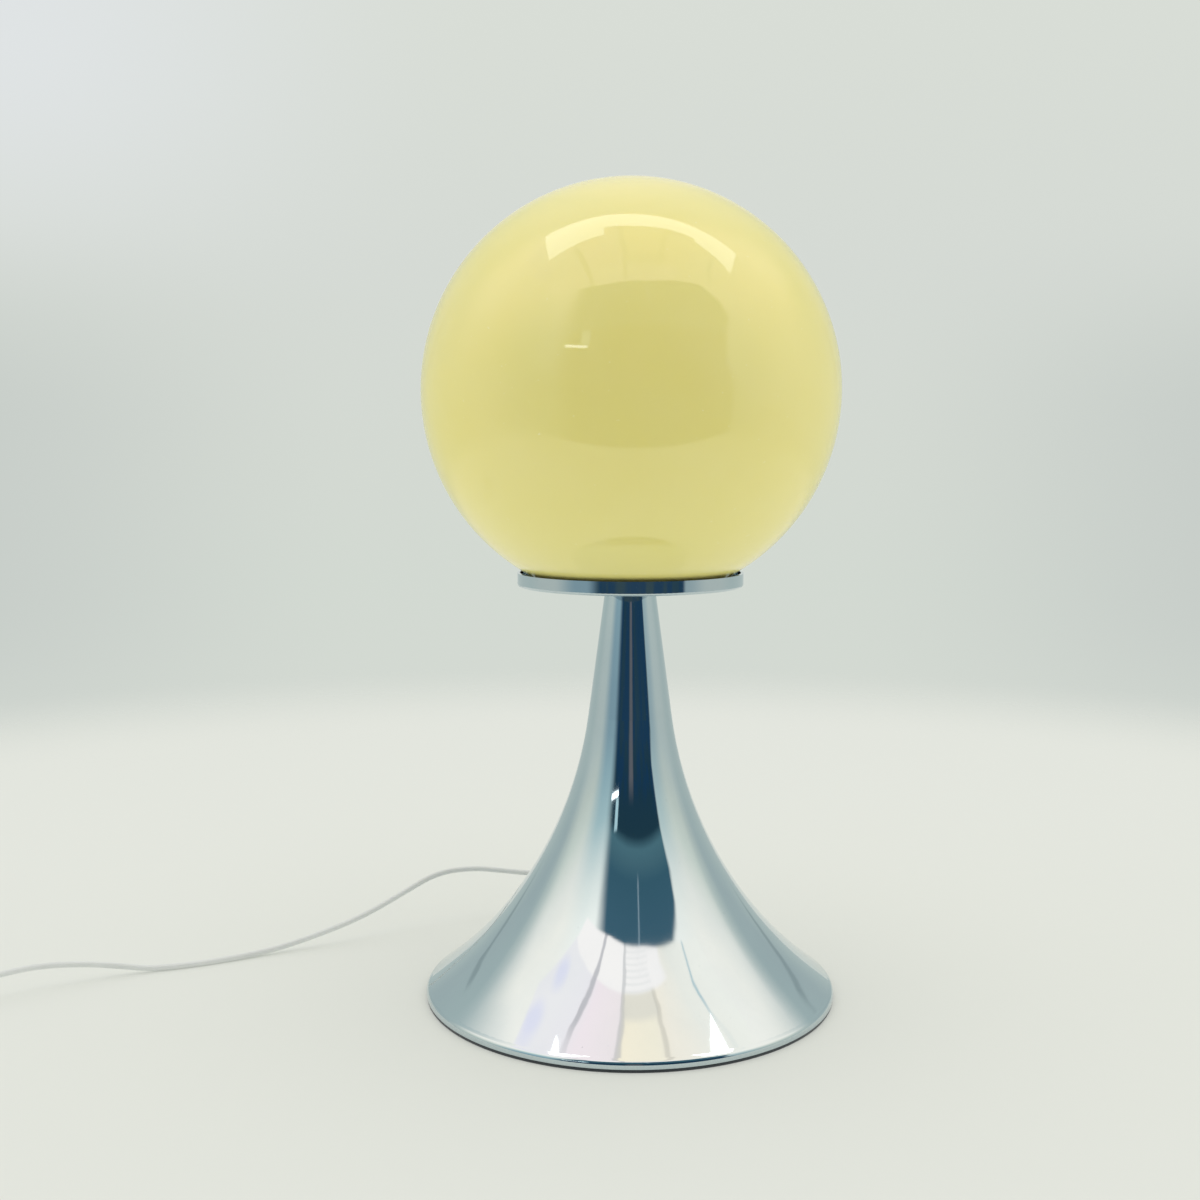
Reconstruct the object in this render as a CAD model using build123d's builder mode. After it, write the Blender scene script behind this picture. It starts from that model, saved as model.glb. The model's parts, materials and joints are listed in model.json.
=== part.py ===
from build123d import *
from math import asin, cos, degrees, hypot, pi, radians, sin, sqrt, tan
import os

# Table lamp: an opal glass globe held in a shallow round gallery, on a spun
# chromed trumpet with a cast weight inside, an E27 lampholder and bulb within
# the globe, and a thin mains lead with an in-line rocker switch and a plug.
# Millimetres. The origin is the bottom centre of the base, +Z is up, and the
# lamp is seen from -Y.

os.makedirs("parts", exist_ok=True)

# ---------------------------------------------------------------------------
# Driving dimensions
# ---------------------------------------------------------------------------
# Clearances
fit_gap = 0.05  # a shaft or tube in its own hole
seat_gap = 0.3  # curved faces that stand beside each other

# Base
base_radius = 100.0
pad_thickness = 1.0
pad_inset = 1.5
rim_height = 4.0
rim_edge_radius = 0.4
weight_thickness = 8.0
nut_recess_radius = 13.0
nut_recess_depth = 4.0

# Trumpet
sheet = 1.2
neck_radius = 12.1
neck_top = 202.0
taper_angle = 7.6
flare_top = 139.4

# Threaded tube and what it clamps
tube_radius = 5.0
tube_bore_radius = 3.6
tube_end_inset = 0.6
nut_across_flats = 14.0
nut_height = 3.5
washer_radius = 10.5
washer_thickness = 1.2
bush_flange_thickness = 0.5
bush_plug_height = 8.0
slot_width = 4.2

# Gallery and globe
gallery_radius = 55.0
gallery_height = 6.7
gallery_wall = 1.3
gallery_floor = 1.5
gallery_corner_radius = 1.4
gasket_thickness = 1.0
gasket_inset = 0.5
gasket_margin = 3.5
globe_radius = 100.5
globe_wall = 3.0
globe_mouth_radius = 43.5
globe_lip_radius = 0.8
spring_count = 3
spring_width = 8.0
spring_leaf = 0.5
spring_foot_radius = 24.0
spring_rise = 13.0
spring_foot_setback = 3.5
spring_bulge_rise = 1.5
spring_tip_setback = 4.0
rivet_radius = 1.5
rivet_head_radius = 2.75
rivet_head_height = 0.9
rivet_setback = 4.0

# Lampholder
holder_radius = 19.5
holder_wall = 1.8
holder_neck_radius = 8.0
holder_neck_height = 7.0
cap_height = 20.0
skirt_height = 30.0
insert_height = 10.0
insert_ring_height = 4.0
insert_ring_wall = 2.7
thread_shell_wall = 0.45
thread_shell_height = 24.0
contact_width = 5.0
contact_leaf = 0.5
contact_rise = 1.5
screw_radius = 1.5
wire_radius = 0.6
live_leaf_place = 11.5
terminal_depth = 8.0
terminal_wire_place = 9.0
tongue_reach = 4.0
inner_cord_stub = 1.0
core_run = 3.0
core_bend_radius = 1.8

# Bulb
bulb_cap_radius = 13.03
bulb_cap_height = 24.0
bulb_cap_wall = 0.3
bulb_cap_corner_radius = 2.0
bulb_tip_radius = 4.5
bulb_tip_height = 1.0
bulb_insulator_radius = 9.0
bulb_insulator_height = 3.0
bulb_length = 105.0
bulb_radius = 30.0
bulb_neck_radius = 12.6
bulb_shoulder_radius = 35.0
bulb_neck_overlap = 6.0
bulb_glass = 0.8
stem_radius = 2.2
stem_disc_radius = 7.0
stem_disc_thickness = 1.0
filament_radius = 0.8
filament_ring_radius = 5.0
filament_length = 36.0
filament_count = 4
filament_start = 46.0

# Lead, its outlet through the flare and its clamp
cord_radius = 1.5
cord_sides = 8
outlet_azimuth = 100.0
outlet_height = 20.0
outlet_barrel_radius = 4.2
outlet_collar_radius = 6.5
outlet_collar_length = 2.5
outlet_proud = 8.0
outlet_relief_length = 18.0
relief_tip_radius = 2.2
clamp_place = 34.0
clamp_length = 10.0
clamp_leaf = 1.2
clamp_half_width = 11.0
clamp_screw_place = 7.2
clamp_screw_length = 6.0
clamp_head_radius = 2.75
clamp_head_height = 1.8
cord_lift = 0.2
inner_bend_radius = 10.0
inner_sweep_radius = 12.0
inner_sweep_outer_distance = 58.0
inner_sweep_inner_distance = 46.0
outlet_run_length = 12.0

# In-line switch, lying on the floor along X
switch_centre_x = -403.0
switch_centre_y = -38.0
switch_length = 62.0
switch_width = 26.0
switch_bottom_height = 9.5
switch_top_height = 10.0
switch_wall = 2.0
switch_corner_radius = 9.0
switch_edge_radius = 2.0
window_length = 25.0
window_width = 12.6
rocker_length = 23.0
rocker_gap = 0.4
rocker_axis_height = 15.5
rocker_tilt = 12.0
rocker_end_rise = 4.6
rocker_middle_rise = 2.6
rocker_skirt_drop = 3.0
trunnion_radius = 1.5
trunnion_length = 1.6
bearing_wall = 1.6
switch_relief_length = 20.0
switch_relief_radius = 4.0
switch_run_length = 12.0
relief_collar_length = 2.0
boss_radius = 3.4
boss_place_x = 21.5
boss_place_y = 7.2
boss_gap = 0.2
screw_end_gap = 1.0
blade_width = 6.0
blade_leaf = 0.8
blade_height = 7.0

# Coil of the put-away length, laid in layers of half turns
coil_centre_x = -471.2
coil_centre_y = 50.0
coil_middle_radius = 18.0
coil_layers = 4
half_turns_per_layer = 4
turn_pitch = 4.0
layer_pitch = 3.9
coil_run_length = 11.0
tie_width = 5.0
tie_thickness = 0.9
tie_corner_radius = 2.0

# Plug with two round pins, lying flat beside the coil, pins away from the lamp
plug_centre_x = -416.2
plug_tip_y = 44.0
plug_length = 35.0
plug_front_half_width = 13.2
plug_rear_half_width = 6.0
plug_thickness = 13.7
plug_edge_radius = 2.6
plug_relief_length = 24.0
plug_relief_radius = 4.4
plug_run_length = 8.0
plug_grip_length = 26.0
plug_grip_sag = 1.1
pin_radius = 2.0
pin_length = 19.0
pin_spacing = 18.6
pin_root_radius = 1.3
pin_tip_radius = 1.2
pin_sleeve_radius = 1.7
pin_sleeve_length = 10.0
pin_embed = 6.0

# ---------------------------------------------------------------------------
# Levels and curves that several pieces share
# ---------------------------------------------------------------------------
rim_top = pad_thickness + rim_height
weight_top = pad_thickness + weight_thickness
gallery_bottom = neck_top + bush_flange_thickness
gallery_inside = gallery_bottom + gallery_floor
lip_height = gallery_inside + gasket_thickness
globe_lip_depth = sqrt(globe_radius**2 - globe_mouth_radius**2)
lip_inner = sqrt((globe_radius - globe_wall) ** 2 - globe_lip_depth**2)
globe_centre = lip_height + globe_lip_depth
rivet_place_radius = spring_foot_radius + rivet_setback
top_nut_top = gallery_inside + washer_thickness + nut_height
holder_bottom = top_nut_top
cap_bottom = holder_bottom + holder_neck_height
cap_top = cap_bottom + cap_height
skirt_top = cap_top + skirt_height
tube_bottom = pad_thickness + tube_end_inset
tube_top = cap_bottom - tube_end_inset
insert_radius = holder_radius - holder_wall - seat_gap
thread_shell_inner = bulb_cap_radius + seat_gap
thread_shell_outer = thread_shell_inner + thread_shell_wall
bulb_bottom = cap_top + contact_rise + contact_leaf
cord_on_weight = weight_top + cord_radius + cord_lift

# The flare is an arc tangent to the neck's taper that ends on the rim's edge.
flare_start_radius = neck_radius + (neck_top - flare_top) * tan(radians(taper_angle))
normal_r = cos(radians(taper_angle))
normal_z = sin(radians(taper_angle))
span_r = base_radius - flare_start_radius
span_z = rim_top - flare_top
flare_arc = (span_r**2 + span_z**2) / (2 * (span_r * normal_r + span_z * normal_z))
flare_centre_r = flare_start_radius + flare_arc * normal_r
flare_centre_z = flare_top + flare_arc * normal_z


def flare_radius(height, inward=0.0):
    """Radius of the flare at a height, on a surface that lies inward of the outer one."""
    return flare_centre_r - sqrt((flare_arc + inward) ** 2 - (flare_centre_z - height) ** 2)


def flare_height(radius, inward=0.0):
    """Height of the flare at a radius, on a surface that lies inward of the outer one."""
    return flare_centre_z - sqrt((flare_arc + inward) ** 2 - (flare_centre_r - radius) ** 2)


outlet_barrel_end = flare_radius(outlet_height) + outlet_proud
outlet_relief_end = outlet_barrel_end + outlet_relief_length


def neck_inner_radius(height):
    """Radius inside the straight part of the neck."""
    outer = neck_radius + (neck_top - height) * tan(radians(taper_angle))
    return outer - sheet / normal_r


def polar_plane(azimuth):
    """Upright plane through the lamp's axis: x runs outward at the azimuth, y runs up."""
    outward = (cos(radians(azimuth)), sin(radians(azimuth)), 0)
    across = (sin(radians(azimuth)), -cos(radians(azimuth)), 0)
    return Plane(origin=(0, 0, 0), x_dir=outward, z_dir=across)


def across_plane(azimuth, distance, height):
    """Plane square to a horizontal direction from the axis, at a distance along it."""
    outward = (cos(radians(azimuth)), sin(radians(azimuth)), 0)
    place = (distance * outward[0], distance * outward[1], height)
    return Plane(origin=place, x_dir=(-outward[1], outward[0], 0), z_dir=outward)


# ---------------------------------------------------------------------------
# Base: pad, cast weight, trumpet
# ---------------------------------------------------------------------------
with BuildPart() as felt_pad:
    with BuildSketch(Plane.XY):
        Circle(base_radius - pad_inset)
    extrude(amount=pad_thickness)
felt_pad.part.label = "felt_pad"
export_step(felt_pad.part, "parts/felt_pad.step")

# The weight's edge follows the inside of the flare.
weight_skin = sheet + seat_gap
weight_edge = base_radius - weight_skin
weight_shoulder = flare_height(weight_edge, weight_skin)
weight_middle = (weight_shoulder + weight_top) / 2
clamp_plane = across_plane(outlet_azimuth, clamp_place, weight_top)
clamp_middle = clamp_plane.origin
clamp_screw_places = [
    clamp_middle + clamp_plane.x_dir * (side * clamp_screw_place) for side in (-1, 1)
]
with BuildPart() as base_weight:
    with BuildSketch(Plane.XZ):
        with BuildLine():
            Polyline(
                (weight_edge, weight_shoulder),
                (weight_edge, pad_thickness),
                (tube_radius + fit_gap, pad_thickness),
                (tube_radius + fit_gap, weight_top),
                (flare_radius(weight_top, weight_skin), weight_top),
            )
            ThreePointArc(
                (flare_radius(weight_top, weight_skin), weight_top),
                (flare_radius(weight_middle, weight_skin), weight_middle),
                (weight_edge, weight_shoulder),
            )
        make_face()
    revolve(axis=Axis.Z)
    with BuildSketch(Plane.XY.offset(pad_thickness)):
        Circle(nut_recess_radius)
    extrude(amount=nut_recess_depth, mode=Mode.SUBTRACT)
    with Locations(*[Plane(origin=place) for place in clamp_screw_places]):
        Hole(screw_radius + fit_gap, depth=clamp_screw_length)
base_weight.part.label = "base_weight"
export_step(base_weight.part, "parts/base_weight.step")

neck_inner_top = neck_inner_radius(neck_top)
flare_inner_start = (flare_start_radius - sheet * normal_r, flare_top - sheet * normal_z)
band_inner = base_radius - sheet
band_inner_top = flare_height(band_inner, sheet)
flare_middle = (flare_top + rim_top) / 2
with BuildPart() as trumpet_shell:
    with BuildSketch(Plane.XZ):
        with BuildLine():
            Line((neck_radius, neck_top), (flare_start_radius, flare_top))
            ThreePointArc(
                (flare_start_radius, flare_top),
                (flare_radius(flare_middle), flare_middle),
                (base_radius, rim_top),
            )
            Polyline(
                (base_radius, rim_top),
                (base_radius, pad_thickness),
                (band_inner, pad_thickness),
                (band_inner, band_inner_top),
            )
            ThreePointArc(
                (band_inner, band_inner_top),
                (flare_radius(flare_middle, sheet), flare_middle),
                flare_inner_start,
            )
            Polyline(
                flare_inner_start,
                (neck_inner_top, neck_top),
                (neck_radius, neck_top),
            )
        make_face()
    revolve(axis=Axis.Z)
    rim_edge = (
        trumpet_shell.edges()
        .filter_by(GeomType.CIRCLE)
        .filter_by(lambda edge: abs(edge.radius - base_radius) < 0.01)
        .sort_by(Axis.Z)[-1]
    )
    fillet(rim_edge, rim_edge_radius)
    with BuildSketch(across_plane(outlet_azimuth, 0, outlet_height)):
        Circle(outlet_barrel_radius + fit_gap)
    extrude(amount=base_radius, mode=Mode.SUBTRACT)
trumpet_shell.part.label = "trumpet_shell"
export_step(trumpet_shell.part, "parts/trumpet_shell.step")

# ---------------------------------------------------------------------------
# Threaded tube, nuts, washers and the neck's bush
# ---------------------------------------------------------------------------
slot_bottom = weight_top
slot_top = cord_on_weight + inner_bend_radius - sqrt(
    (inner_bend_radius - cord_radius) ** 2 - (inner_bend_radius - tube_bore_radius) ** 2
)
with BuildPart() as threaded_tube:
    with BuildSketch(Plane.XY.offset(tube_bottom)):
        Circle(tube_radius)
        Circle(tube_bore_radius, mode=Mode.SUBTRACT)
    extrude(amount=tube_top - tube_bottom)
    with BuildSketch(across_plane(outlet_azimuth, 0, (slot_bottom + slot_top) / 2)):
        Rectangle(slot_width, slot_top - slot_bottom + 2 * seat_gap)
    extrude(amount=2 * tube_radius, mode=Mode.SUBTRACT)
threaded_tube.part.label = "threaded_tube"
export_step(threaded_tube.part, "parts/threaded_tube.step")

bottom_nut_bottom = pad_thickness + nut_recess_depth - nut_height
with BuildPart() as bottom_nut:
    with BuildSketch(Plane.XY.offset(bottom_nut_bottom)):
        RegularPolygon(nut_across_flats / 2, 6, major_radius=False)
        Circle(tube_radius + fit_gap, mode=Mode.SUBTRACT)
    extrude(amount=nut_height)
bottom_nut.part.label = "bottom_nut"
export_step(bottom_nut.part, "parts/bottom_nut.step")

with BuildPart() as neck_bush:
    with BuildSketch(Plane.XY.offset(neck_top - bush_plug_height)):
        Circle(neck_inner_top - fit_gap)
    extrude(amount=bush_plug_height)
    with BuildSketch(Plane.XY.offset(neck_top)):
        Circle(neck_radius - seat_gap)
    extrude(amount=bush_flange_thickness)
    with BuildSketch(Plane.XY.offset(neck_top - bush_plug_height)):
        Circle(tube_radius + fit_gap)
    extrude(amount=bush_plug_height + bush_flange_thickness, mode=Mode.SUBTRACT)
neck_bush.part.label = "neck_bush"
export_step(neck_bush.part, "parts/neck_bush.step")

with BuildPart() as top_washer:
    with BuildSketch(Plane.XY.offset(gallery_inside)):
        Circle(washer_radius)
        Circle(tube_radius + fit_gap, mode=Mode.SUBTRACT)
    extrude(amount=washer_thickness)
top_washer.part.label = "top_washer"
export_step(top_washer.part, "parts/top_washer.step")

with BuildPart() as top_nut:
    with BuildSketch(Plane.XY.offset(gallery_inside + washer_thickness)):
        RegularPolygon(nut_across_flats / 2, 6, major_radius=False)
        Circle(tube_radius + fit_gap, mode=Mode.SUBTRACT)
    extrude(amount=nut_height)
top_nut.part.label = "top_nut"
export_step(top_nut.part, "parts/top_nut.step")

# ---------------------------------------------------------------------------
# Gallery: the dish that carries the globe, its gasket and its leaf springs
# ---------------------------------------------------------------------------
spring_azimuths = [90 + 360 / spring_count * i for i in range(spring_count)]
rivet_places = [
    (rivet_place_radius * cos(radians(azimuth)), rivet_place_radius * sin(radians(azimuth)))
    for azimuth in spring_azimuths
]
with BuildPart() as gallery_dish:
    with BuildSketch(Plane.XY.offset(gallery_bottom)):
        Circle(gallery_radius)
    extrude(amount=gallery_height)
    fillet(gallery_dish.faces().sort_by(Axis.Z)[0].edges(), gallery_corner_radius)
    with BuildSketch(Plane.XY.offset(gallery_inside)):
        Circle(gallery_radius - gallery_wall)
    extrude(amount=gallery_height - gallery_floor, mode=Mode.SUBTRACT)
    with Locations(Plane.XY.offset(gallery_inside)):
        Hole(tube_radius + fit_gap)
        with Locations(*rivet_places):
            Hole(rivet_radius + fit_gap)
gallery_dish.part.label = "gallery_dish"
export_step(gallery_dish.part, "parts/gallery_dish.step")

with BuildPart() as gallery_gasket:
    with BuildSketch(Plane.XY.offset(gallery_inside)):
        Circle(globe_mouth_radius + gasket_margin)
        Circle(lip_inner + gasket_inset, mode=Mode.SUBTRACT)
    extrude(amount=gasket_thickness)
gallery_gasket.part.label = "gallery_gasket"
export_step(gallery_gasket.part, "parts/gallery_gasket.step")


def globe_arc(radius):
    """Half outline of a sphere about the globe's centre, from the level of its lip up."""
    lip_angle = -degrees(asin(globe_lip_depth / radius))
    return CenterArc((0, globe_centre), radius, lip_angle, arc_size=90 - lip_angle)


with BuildPart() as globe_glass:
    with BuildSketch(Plane.XZ):
        with BuildLine():
            globe_arc(globe_radius)
            globe_arc(globe_radius - globe_wall)
            Line((lip_inner, lip_height), (globe_mouth_radius, lip_height))
            Line(
                (0, globe_centre + globe_radius - globe_wall),
                (0, globe_centre + globe_radius),
            )
        make_face()
    revolve(axis=Axis.Z)
    fillet(globe_glass.faces().sort_by(Axis.Z)[0].edges(), globe_lip_radius)
globe_glass.part.label = "globe_glass"
export_step(globe_glass.part, "parts/globe_glass.step")

# Each leaf lies on the dish's floor, rises inside the globe's opening, bears
# outward beside the lip and leans back in above it.
spring_reach = lip_inner - seat_gap
spring_outline = [
    (spring_foot_radius, gallery_inside),
    (spring_reach - spring_foot_setback, gallery_inside),
    (spring_reach - spring_leaf, lip_height + spring_bulge_rise),
    (spring_reach - spring_tip_setback, gallery_inside + spring_rise),
]
with BuildPart() as globe_springs:
    for azimuth in spring_azimuths:
        with BuildSketch(polar_plane(azimuth)):
            with BuildLine():
                spring_line = Polyline(*spring_outline)
                offset(spring_line, amount=spring_leaf, side=Side.LEFT)
            make_face()
        extrude(amount=spring_width / 2, both=True)
    with Locations(*[Plane(origin=(x, y, gallery_inside + spring_leaf)) for x, y in rivet_places]):
        Hole(rivet_radius + fit_gap, depth=2 * spring_leaf)
globe_springs.part.label = "globe_springs"
export_step(globe_springs.part, "parts/globe_springs.step")

with BuildPart() as spring_rivets:
    with BuildSketch(Plane.XY.offset(gallery_bottom)):
        with Locations(*rivet_places):
            Circle(rivet_radius)
    extrude(amount=gallery_floor + spring_leaf)
    with BuildSketch(Plane.XY.offset(gallery_inside + spring_leaf)):
        with Locations(*rivet_places):
            Circle(rivet_head_radius)
    extrude(amount=rivet_head_height)
spring_rivets.part.label = "spring_rivets"
export_step(spring_rivets.part, "parts/spring_rivets.step")

# ---------------------------------------------------------------------------
# Lampholder
# ---------------------------------------------------------------------------
cap_floor_top = cap_bottom + holder_wall
with BuildPart() as holder_cap:
    with BuildSketch(Plane.XY.offset(cap_bottom)):
        Circle(holder_radius)
    extrude(amount=cap_height)
    fillet(holder_cap.faces().sort_by(Axis.Z)[0].edges(), holder_wall)
    with BuildSketch(Plane.XY.offset(holder_bottom)):
        Circle(holder_neck_radius)
    extrude(amount=holder_neck_height)
    with BuildSketch(Plane.XY.offset(cap_floor_top)):
        Circle(holder_radius - holder_wall)
    extrude(amount=cap_height - holder_wall, mode=Mode.SUBTRACT)
    with BuildSketch(Plane.XY.offset(holder_bottom)):
        Circle(tube_radius + fit_gap)
    extrude(amount=holder_neck_height + holder_wall, mode=Mode.SUBTRACT)
    with BuildSketch(across_plane(90, 0, holder_bottom + holder_neck_height / 2)):
        Circle(screw_radius + fit_gap)
    extrude(amount=holder_neck_radius, mode=Mode.SUBTRACT)
holder_cap.part.label = "holder_cap"
export_step(holder_cap.part, "parts/holder_cap.step")

with BuildPart() as holder_grub_screw:
    with BuildSketch(
        across_plane(90, tube_radius + fit_gap, holder_bottom + holder_neck_height / 2)
    ):
        Circle(screw_radius)
    extrude(amount=holder_neck_radius - tube_radius)
holder_grub_screw.part.label = "holder_grub_screw"
export_step(holder_grub_screw.part, "parts/holder_grub_screw.step")

insert_bottom = cap_top - insert_height
terminal_height = cap_top - terminal_depth
side_leaf_inner = thread_shell_outer + 2 * fit_gap
leaf_pocket_width = contact_width + 2 * fit_gap
with BuildPart() as holder_insert:
    with BuildSketch(Plane.XY.offset(insert_bottom)):
        Circle(insert_radius)
    extrude(amount=insert_height)
    with BuildSketch(Plane.XY.offset(cap_top)):
        Circle(insert_radius)
        Circle(insert_radius - insert_ring_wall, mode=Mode.SUBTRACT)
    extrude(amount=insert_ring_height)
    with BuildSketch(Plane.XY.offset(insert_bottom)):
        with Locations((live_leaf_place + contact_leaf / 2, 0)):
            Rectangle(contact_leaf + 2 * fit_gap, leaf_pocket_width)
        with Locations((-side_leaf_inner - contact_leaf / 2, 0)):
            Rectangle(contact_leaf + 2 * fit_gap, leaf_pocket_width)
        with Locations((terminal_wire_place, 0), (-terminal_wire_place, 0)):
            Circle(wire_radius + fit_gap)
    extrude(amount=insert_height, mode=Mode.SUBTRACT)
    with BuildSketch(Plane.YZ.offset(-insert_radius)):
        with Locations((0, terminal_height)):
            Circle(screw_radius + fit_gap)
    extrude(amount=2 * insert_radius, mode=Mode.SUBTRACT)
holder_insert.part.label = "holder_insert"
export_step(holder_insert.part, "parts/holder_insert.step")

with BuildPart() as thread_shell:
    with BuildSketch(Plane.XY.offset(cap_top)):
        Circle(thread_shell_outer)
        Circle(thread_shell_inner, mode=Mode.SUBTRACT)
    extrude(amount=thread_shell_height)
thread_shell.part.label = "thread_shell"
export_step(thread_shell.part, "parts/thread_shell.step")

# The tongue rises from its leg in the insert to the middle of the holder.
leaf_foot = terminal_height - contact_width / 2
tongue_bend = live_leaf_place - contact_rise
with BuildPart() as centre_contact:
    with BuildSketch(Plane.XZ):
        with BuildLine():
            Polyline(
                (live_leaf_place + contact_leaf, leaf_foot),
                (live_leaf_place + contact_leaf, cap_top + contact_leaf),
                (tongue_bend, cap_top + contact_leaf),
                (tongue_reach, cap_top + contact_rise + contact_leaf),
                (-tongue_reach, cap_top + contact_rise + contact_leaf),
                (-tongue_reach, cap_top + contact_rise),
                (tongue_reach, cap_top + contact_rise),
                (tongue_bend, cap_top),
                (live_leaf_place, cap_top),
                (live_leaf_place, leaf_foot),
                close=True,
            )
        make_face()
    extrude(amount=contact_width / 2, both=True)
    with BuildSketch(Plane.YZ.offset(live_leaf_place - contact_leaf)):
        with Locations((0, terminal_height)):
            Circle(screw_radius + fit_gap)
    extrude(amount=3 * contact_leaf, mode=Mode.SUBTRACT)
centre_contact.part.label = "centre_contact"
export_step(centre_contact.part, "parts/centre_contact.step")

with BuildPart() as side_contact:
    with BuildSketch(Plane.XZ):
        with Locations((-side_leaf_inner, leaf_foot)):
            Rectangle(
                contact_leaf,
                cap_top + insert_ring_height - leaf_foot,
                align=(Align.MAX, Align.MIN),
            )
    extrude(amount=contact_width / 2, both=True)
    with BuildSketch(Plane.YZ.offset(-side_leaf_inner - 2 * contact_leaf)):
        with Locations((0, terminal_height)):
            Circle(screw_radius + fit_gap)
    extrude(amount=3 * contact_leaf, mode=Mode.SUBTRACT)
side_contact.part.label = "side_contact"
export_step(side_contact.part, "parts/side_contact.step")

with BuildPart() as terminal_screws:
    for side in (-1, 1):
        with BuildSketch(
            Plane(
                origin=(side * (terminal_wire_place + wire_radius), 0, terminal_height),
                x_dir=(0, 1, 0),
                z_dir=(side, 0, 0),
            )
        ):
            Circle(screw_radius)
        extrude(amount=insert_radius - terminal_wire_place - wire_radius)
terminal_screws.part.label = "terminal_screws"
export_step(terminal_screws.part, "parts/terminal_screws.step")

skirt_lip_radius = thread_shell_outer + seat_gap
with BuildPart() as holder_skirt:
    with BuildSketch(Plane.XY.offset(cap_top)):
        Circle(holder_radius)
    extrude(amount=skirt_height)
    fillet(holder_skirt.faces().sort_by(Axis.Z)[-1].edges(), holder_wall)
    with BuildSketch(Plane.XY.offset(cap_top)):
        Circle(holder_radius - holder_wall)
    extrude(amount=skirt_height - holder_wall, mode=Mode.SUBTRACT)
    with BuildSketch(Plane.XY.offset(skirt_top)):
        Circle(skirt_lip_radius)
    extrude(amount=-holder_wall, mode=Mode.SUBTRACT)
holder_skirt.part.label = "holder_skirt"
export_step(holder_skirt.part, "parts/holder_skirt.step")

# ---------------------------------------------------------------------------
# Bulb
# ---------------------------------------------------------------------------
insulator_bottom = bulb_bottom + bulb_tip_height
bulb_cap_bottom = insulator_bottom + bulb_insulator_height
bulb_cap_top = bulb_cap_bottom + bulb_cap_height
bulb_top = bulb_bottom + bulb_length
bulb_centre = bulb_top - bulb_radius
with BuildPart() as bulb_contact:
    with BuildSketch(Plane.XY.offset(bulb_bottom)):
        Circle(bulb_tip_radius)
    extrude(amount=bulb_tip_height)
bulb_contact.part.label = "bulb_contact"
export_step(bulb_contact.part, "parts/bulb_contact.step")

with BuildPart() as bulb_insulator:
    with BuildSketch(Plane.XY.offset(insulator_bottom)):
        Circle(bulb_tip_radius + bulb_cap_wall)
    with BuildSketch(Plane.XY.offset(bulb_cap_bottom)):
        Circle(bulb_insulator_radius)
    loft()
bulb_insulator.part.label = "bulb_insulator"
export_step(bulb_insulator.part, "parts/bulb_insulator.step")

with BuildPart() as bulb_cap:
    with BuildSketch(Plane.XY.offset(bulb_cap_bottom)):
        Circle(bulb_cap_radius)
    extrude(amount=bulb_cap_height)
    fillet(bulb_cap.faces().sort_by(Axis.Z)[0].edges(), bulb_cap_corner_radius)
    with BuildSketch(Plane.XY.offset(bulb_cap_bottom + bulb_cap_wall)):
        Circle(bulb_cap_radius - bulb_cap_corner_radius - bulb_cap_wall)
    extrude(amount=bulb_cap_corner_radius, mode=Mode.SUBTRACT)
    with BuildSketch(Plane.XY.offset(bulb_cap_bottom + bulb_cap_corner_radius)):
        Circle(bulb_cap_radius - bulb_cap_wall)
    extrude(amount=bulb_cap_height, mode=Mode.SUBTRACT)
bulb_cap.part.label = "bulb_cap"
export_step(bulb_cap.part, "parts/bulb_cap.step")


def bulb_outline(inward):
    """Half outline of the envelope, from its open neck to its crown."""
    neck = bulb_neck_radius - inward
    crown = bulb_radius - inward
    shoulder = bulb_shoulder_radius + inward
    reach = neck + shoulder
    shoulder_height = bulb_centre - sqrt((shoulder + crown) ** 2 - reach**2)
    joint_share = crown / (shoulder + crown)
    joint = (reach * joint_share, bulb_centre + (shoulder_height - bulb_centre) * joint_share)
    open_end = (neck, bulb_cap_top - bulb_neck_overlap)
    Line((0, open_end[1]), open_end)
    Line(open_end, (neck, shoulder_height))
    TangentArc((neck, shoulder_height), joint, tangent=(0, 1))
    CenterArc((0, bulb_centre), crown, 0, arc_size=90)
    TangentArc((crown, bulb_centre), joint, tangent=(0, -1))
    Line((0, bulb_centre + crown), (0, open_end[1]))


with BuildPart() as bulb_envelope:
    with BuildSketch(Plane.XZ):
        with BuildLine():
            bulb_outline(0.0)
        make_face()
    revolve(axis=Axis.Z)
    with BuildSketch(Plane.XZ):
        with BuildLine():
            bulb_outline(bulb_glass)
        make_face()
    revolve(axis=Axis.Z, mode=Mode.SUBTRACT)
bulb_envelope.part.label = "bulb_envelope"
export_step(bulb_envelope.part, "parts/bulb_envelope.step")

stem_bottom = bulb_cap_top - bulb_neck_overlap
filament_bottom = bulb_bottom + filament_start
filament_top = filament_bottom + filament_length
with BuildPart() as bulb_stem:
    with BuildSketch(Plane.XY.offset(stem_bottom)):
        Circle(bulb_neck_radius - bulb_glass - fit_gap)
    extrude(amount=stem_disc_thickness)
    with BuildSketch(Plane.XY.offset(stem_bottom)):
        Circle(stem_radius)
    extrude(amount=filament_top + stem_disc_thickness - stem_bottom)
    with BuildSketch(
        Plane.XY.offset(filament_bottom - stem_disc_thickness), Plane.XY.offset(filament_top)
    ):
        Circle(stem_disc_radius)
    extrude(amount=stem_disc_thickness)
bulb_stem.part.label = "bulb_stem"
export_step(bulb_stem.part, "parts/bulb_stem.step")

with BuildPart() as bulb_filaments:
    with BuildSketch(Plane.XY.offset(filament_bottom)):
        with PolarLocations(filament_ring_radius, filament_count):
            Circle(filament_radius)
    extrude(amount=filament_length)
bulb_filaments.part.label = "bulb_filaments"
export_step(bulb_filaments.part, "parts/bulb_filaments.step")

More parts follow.
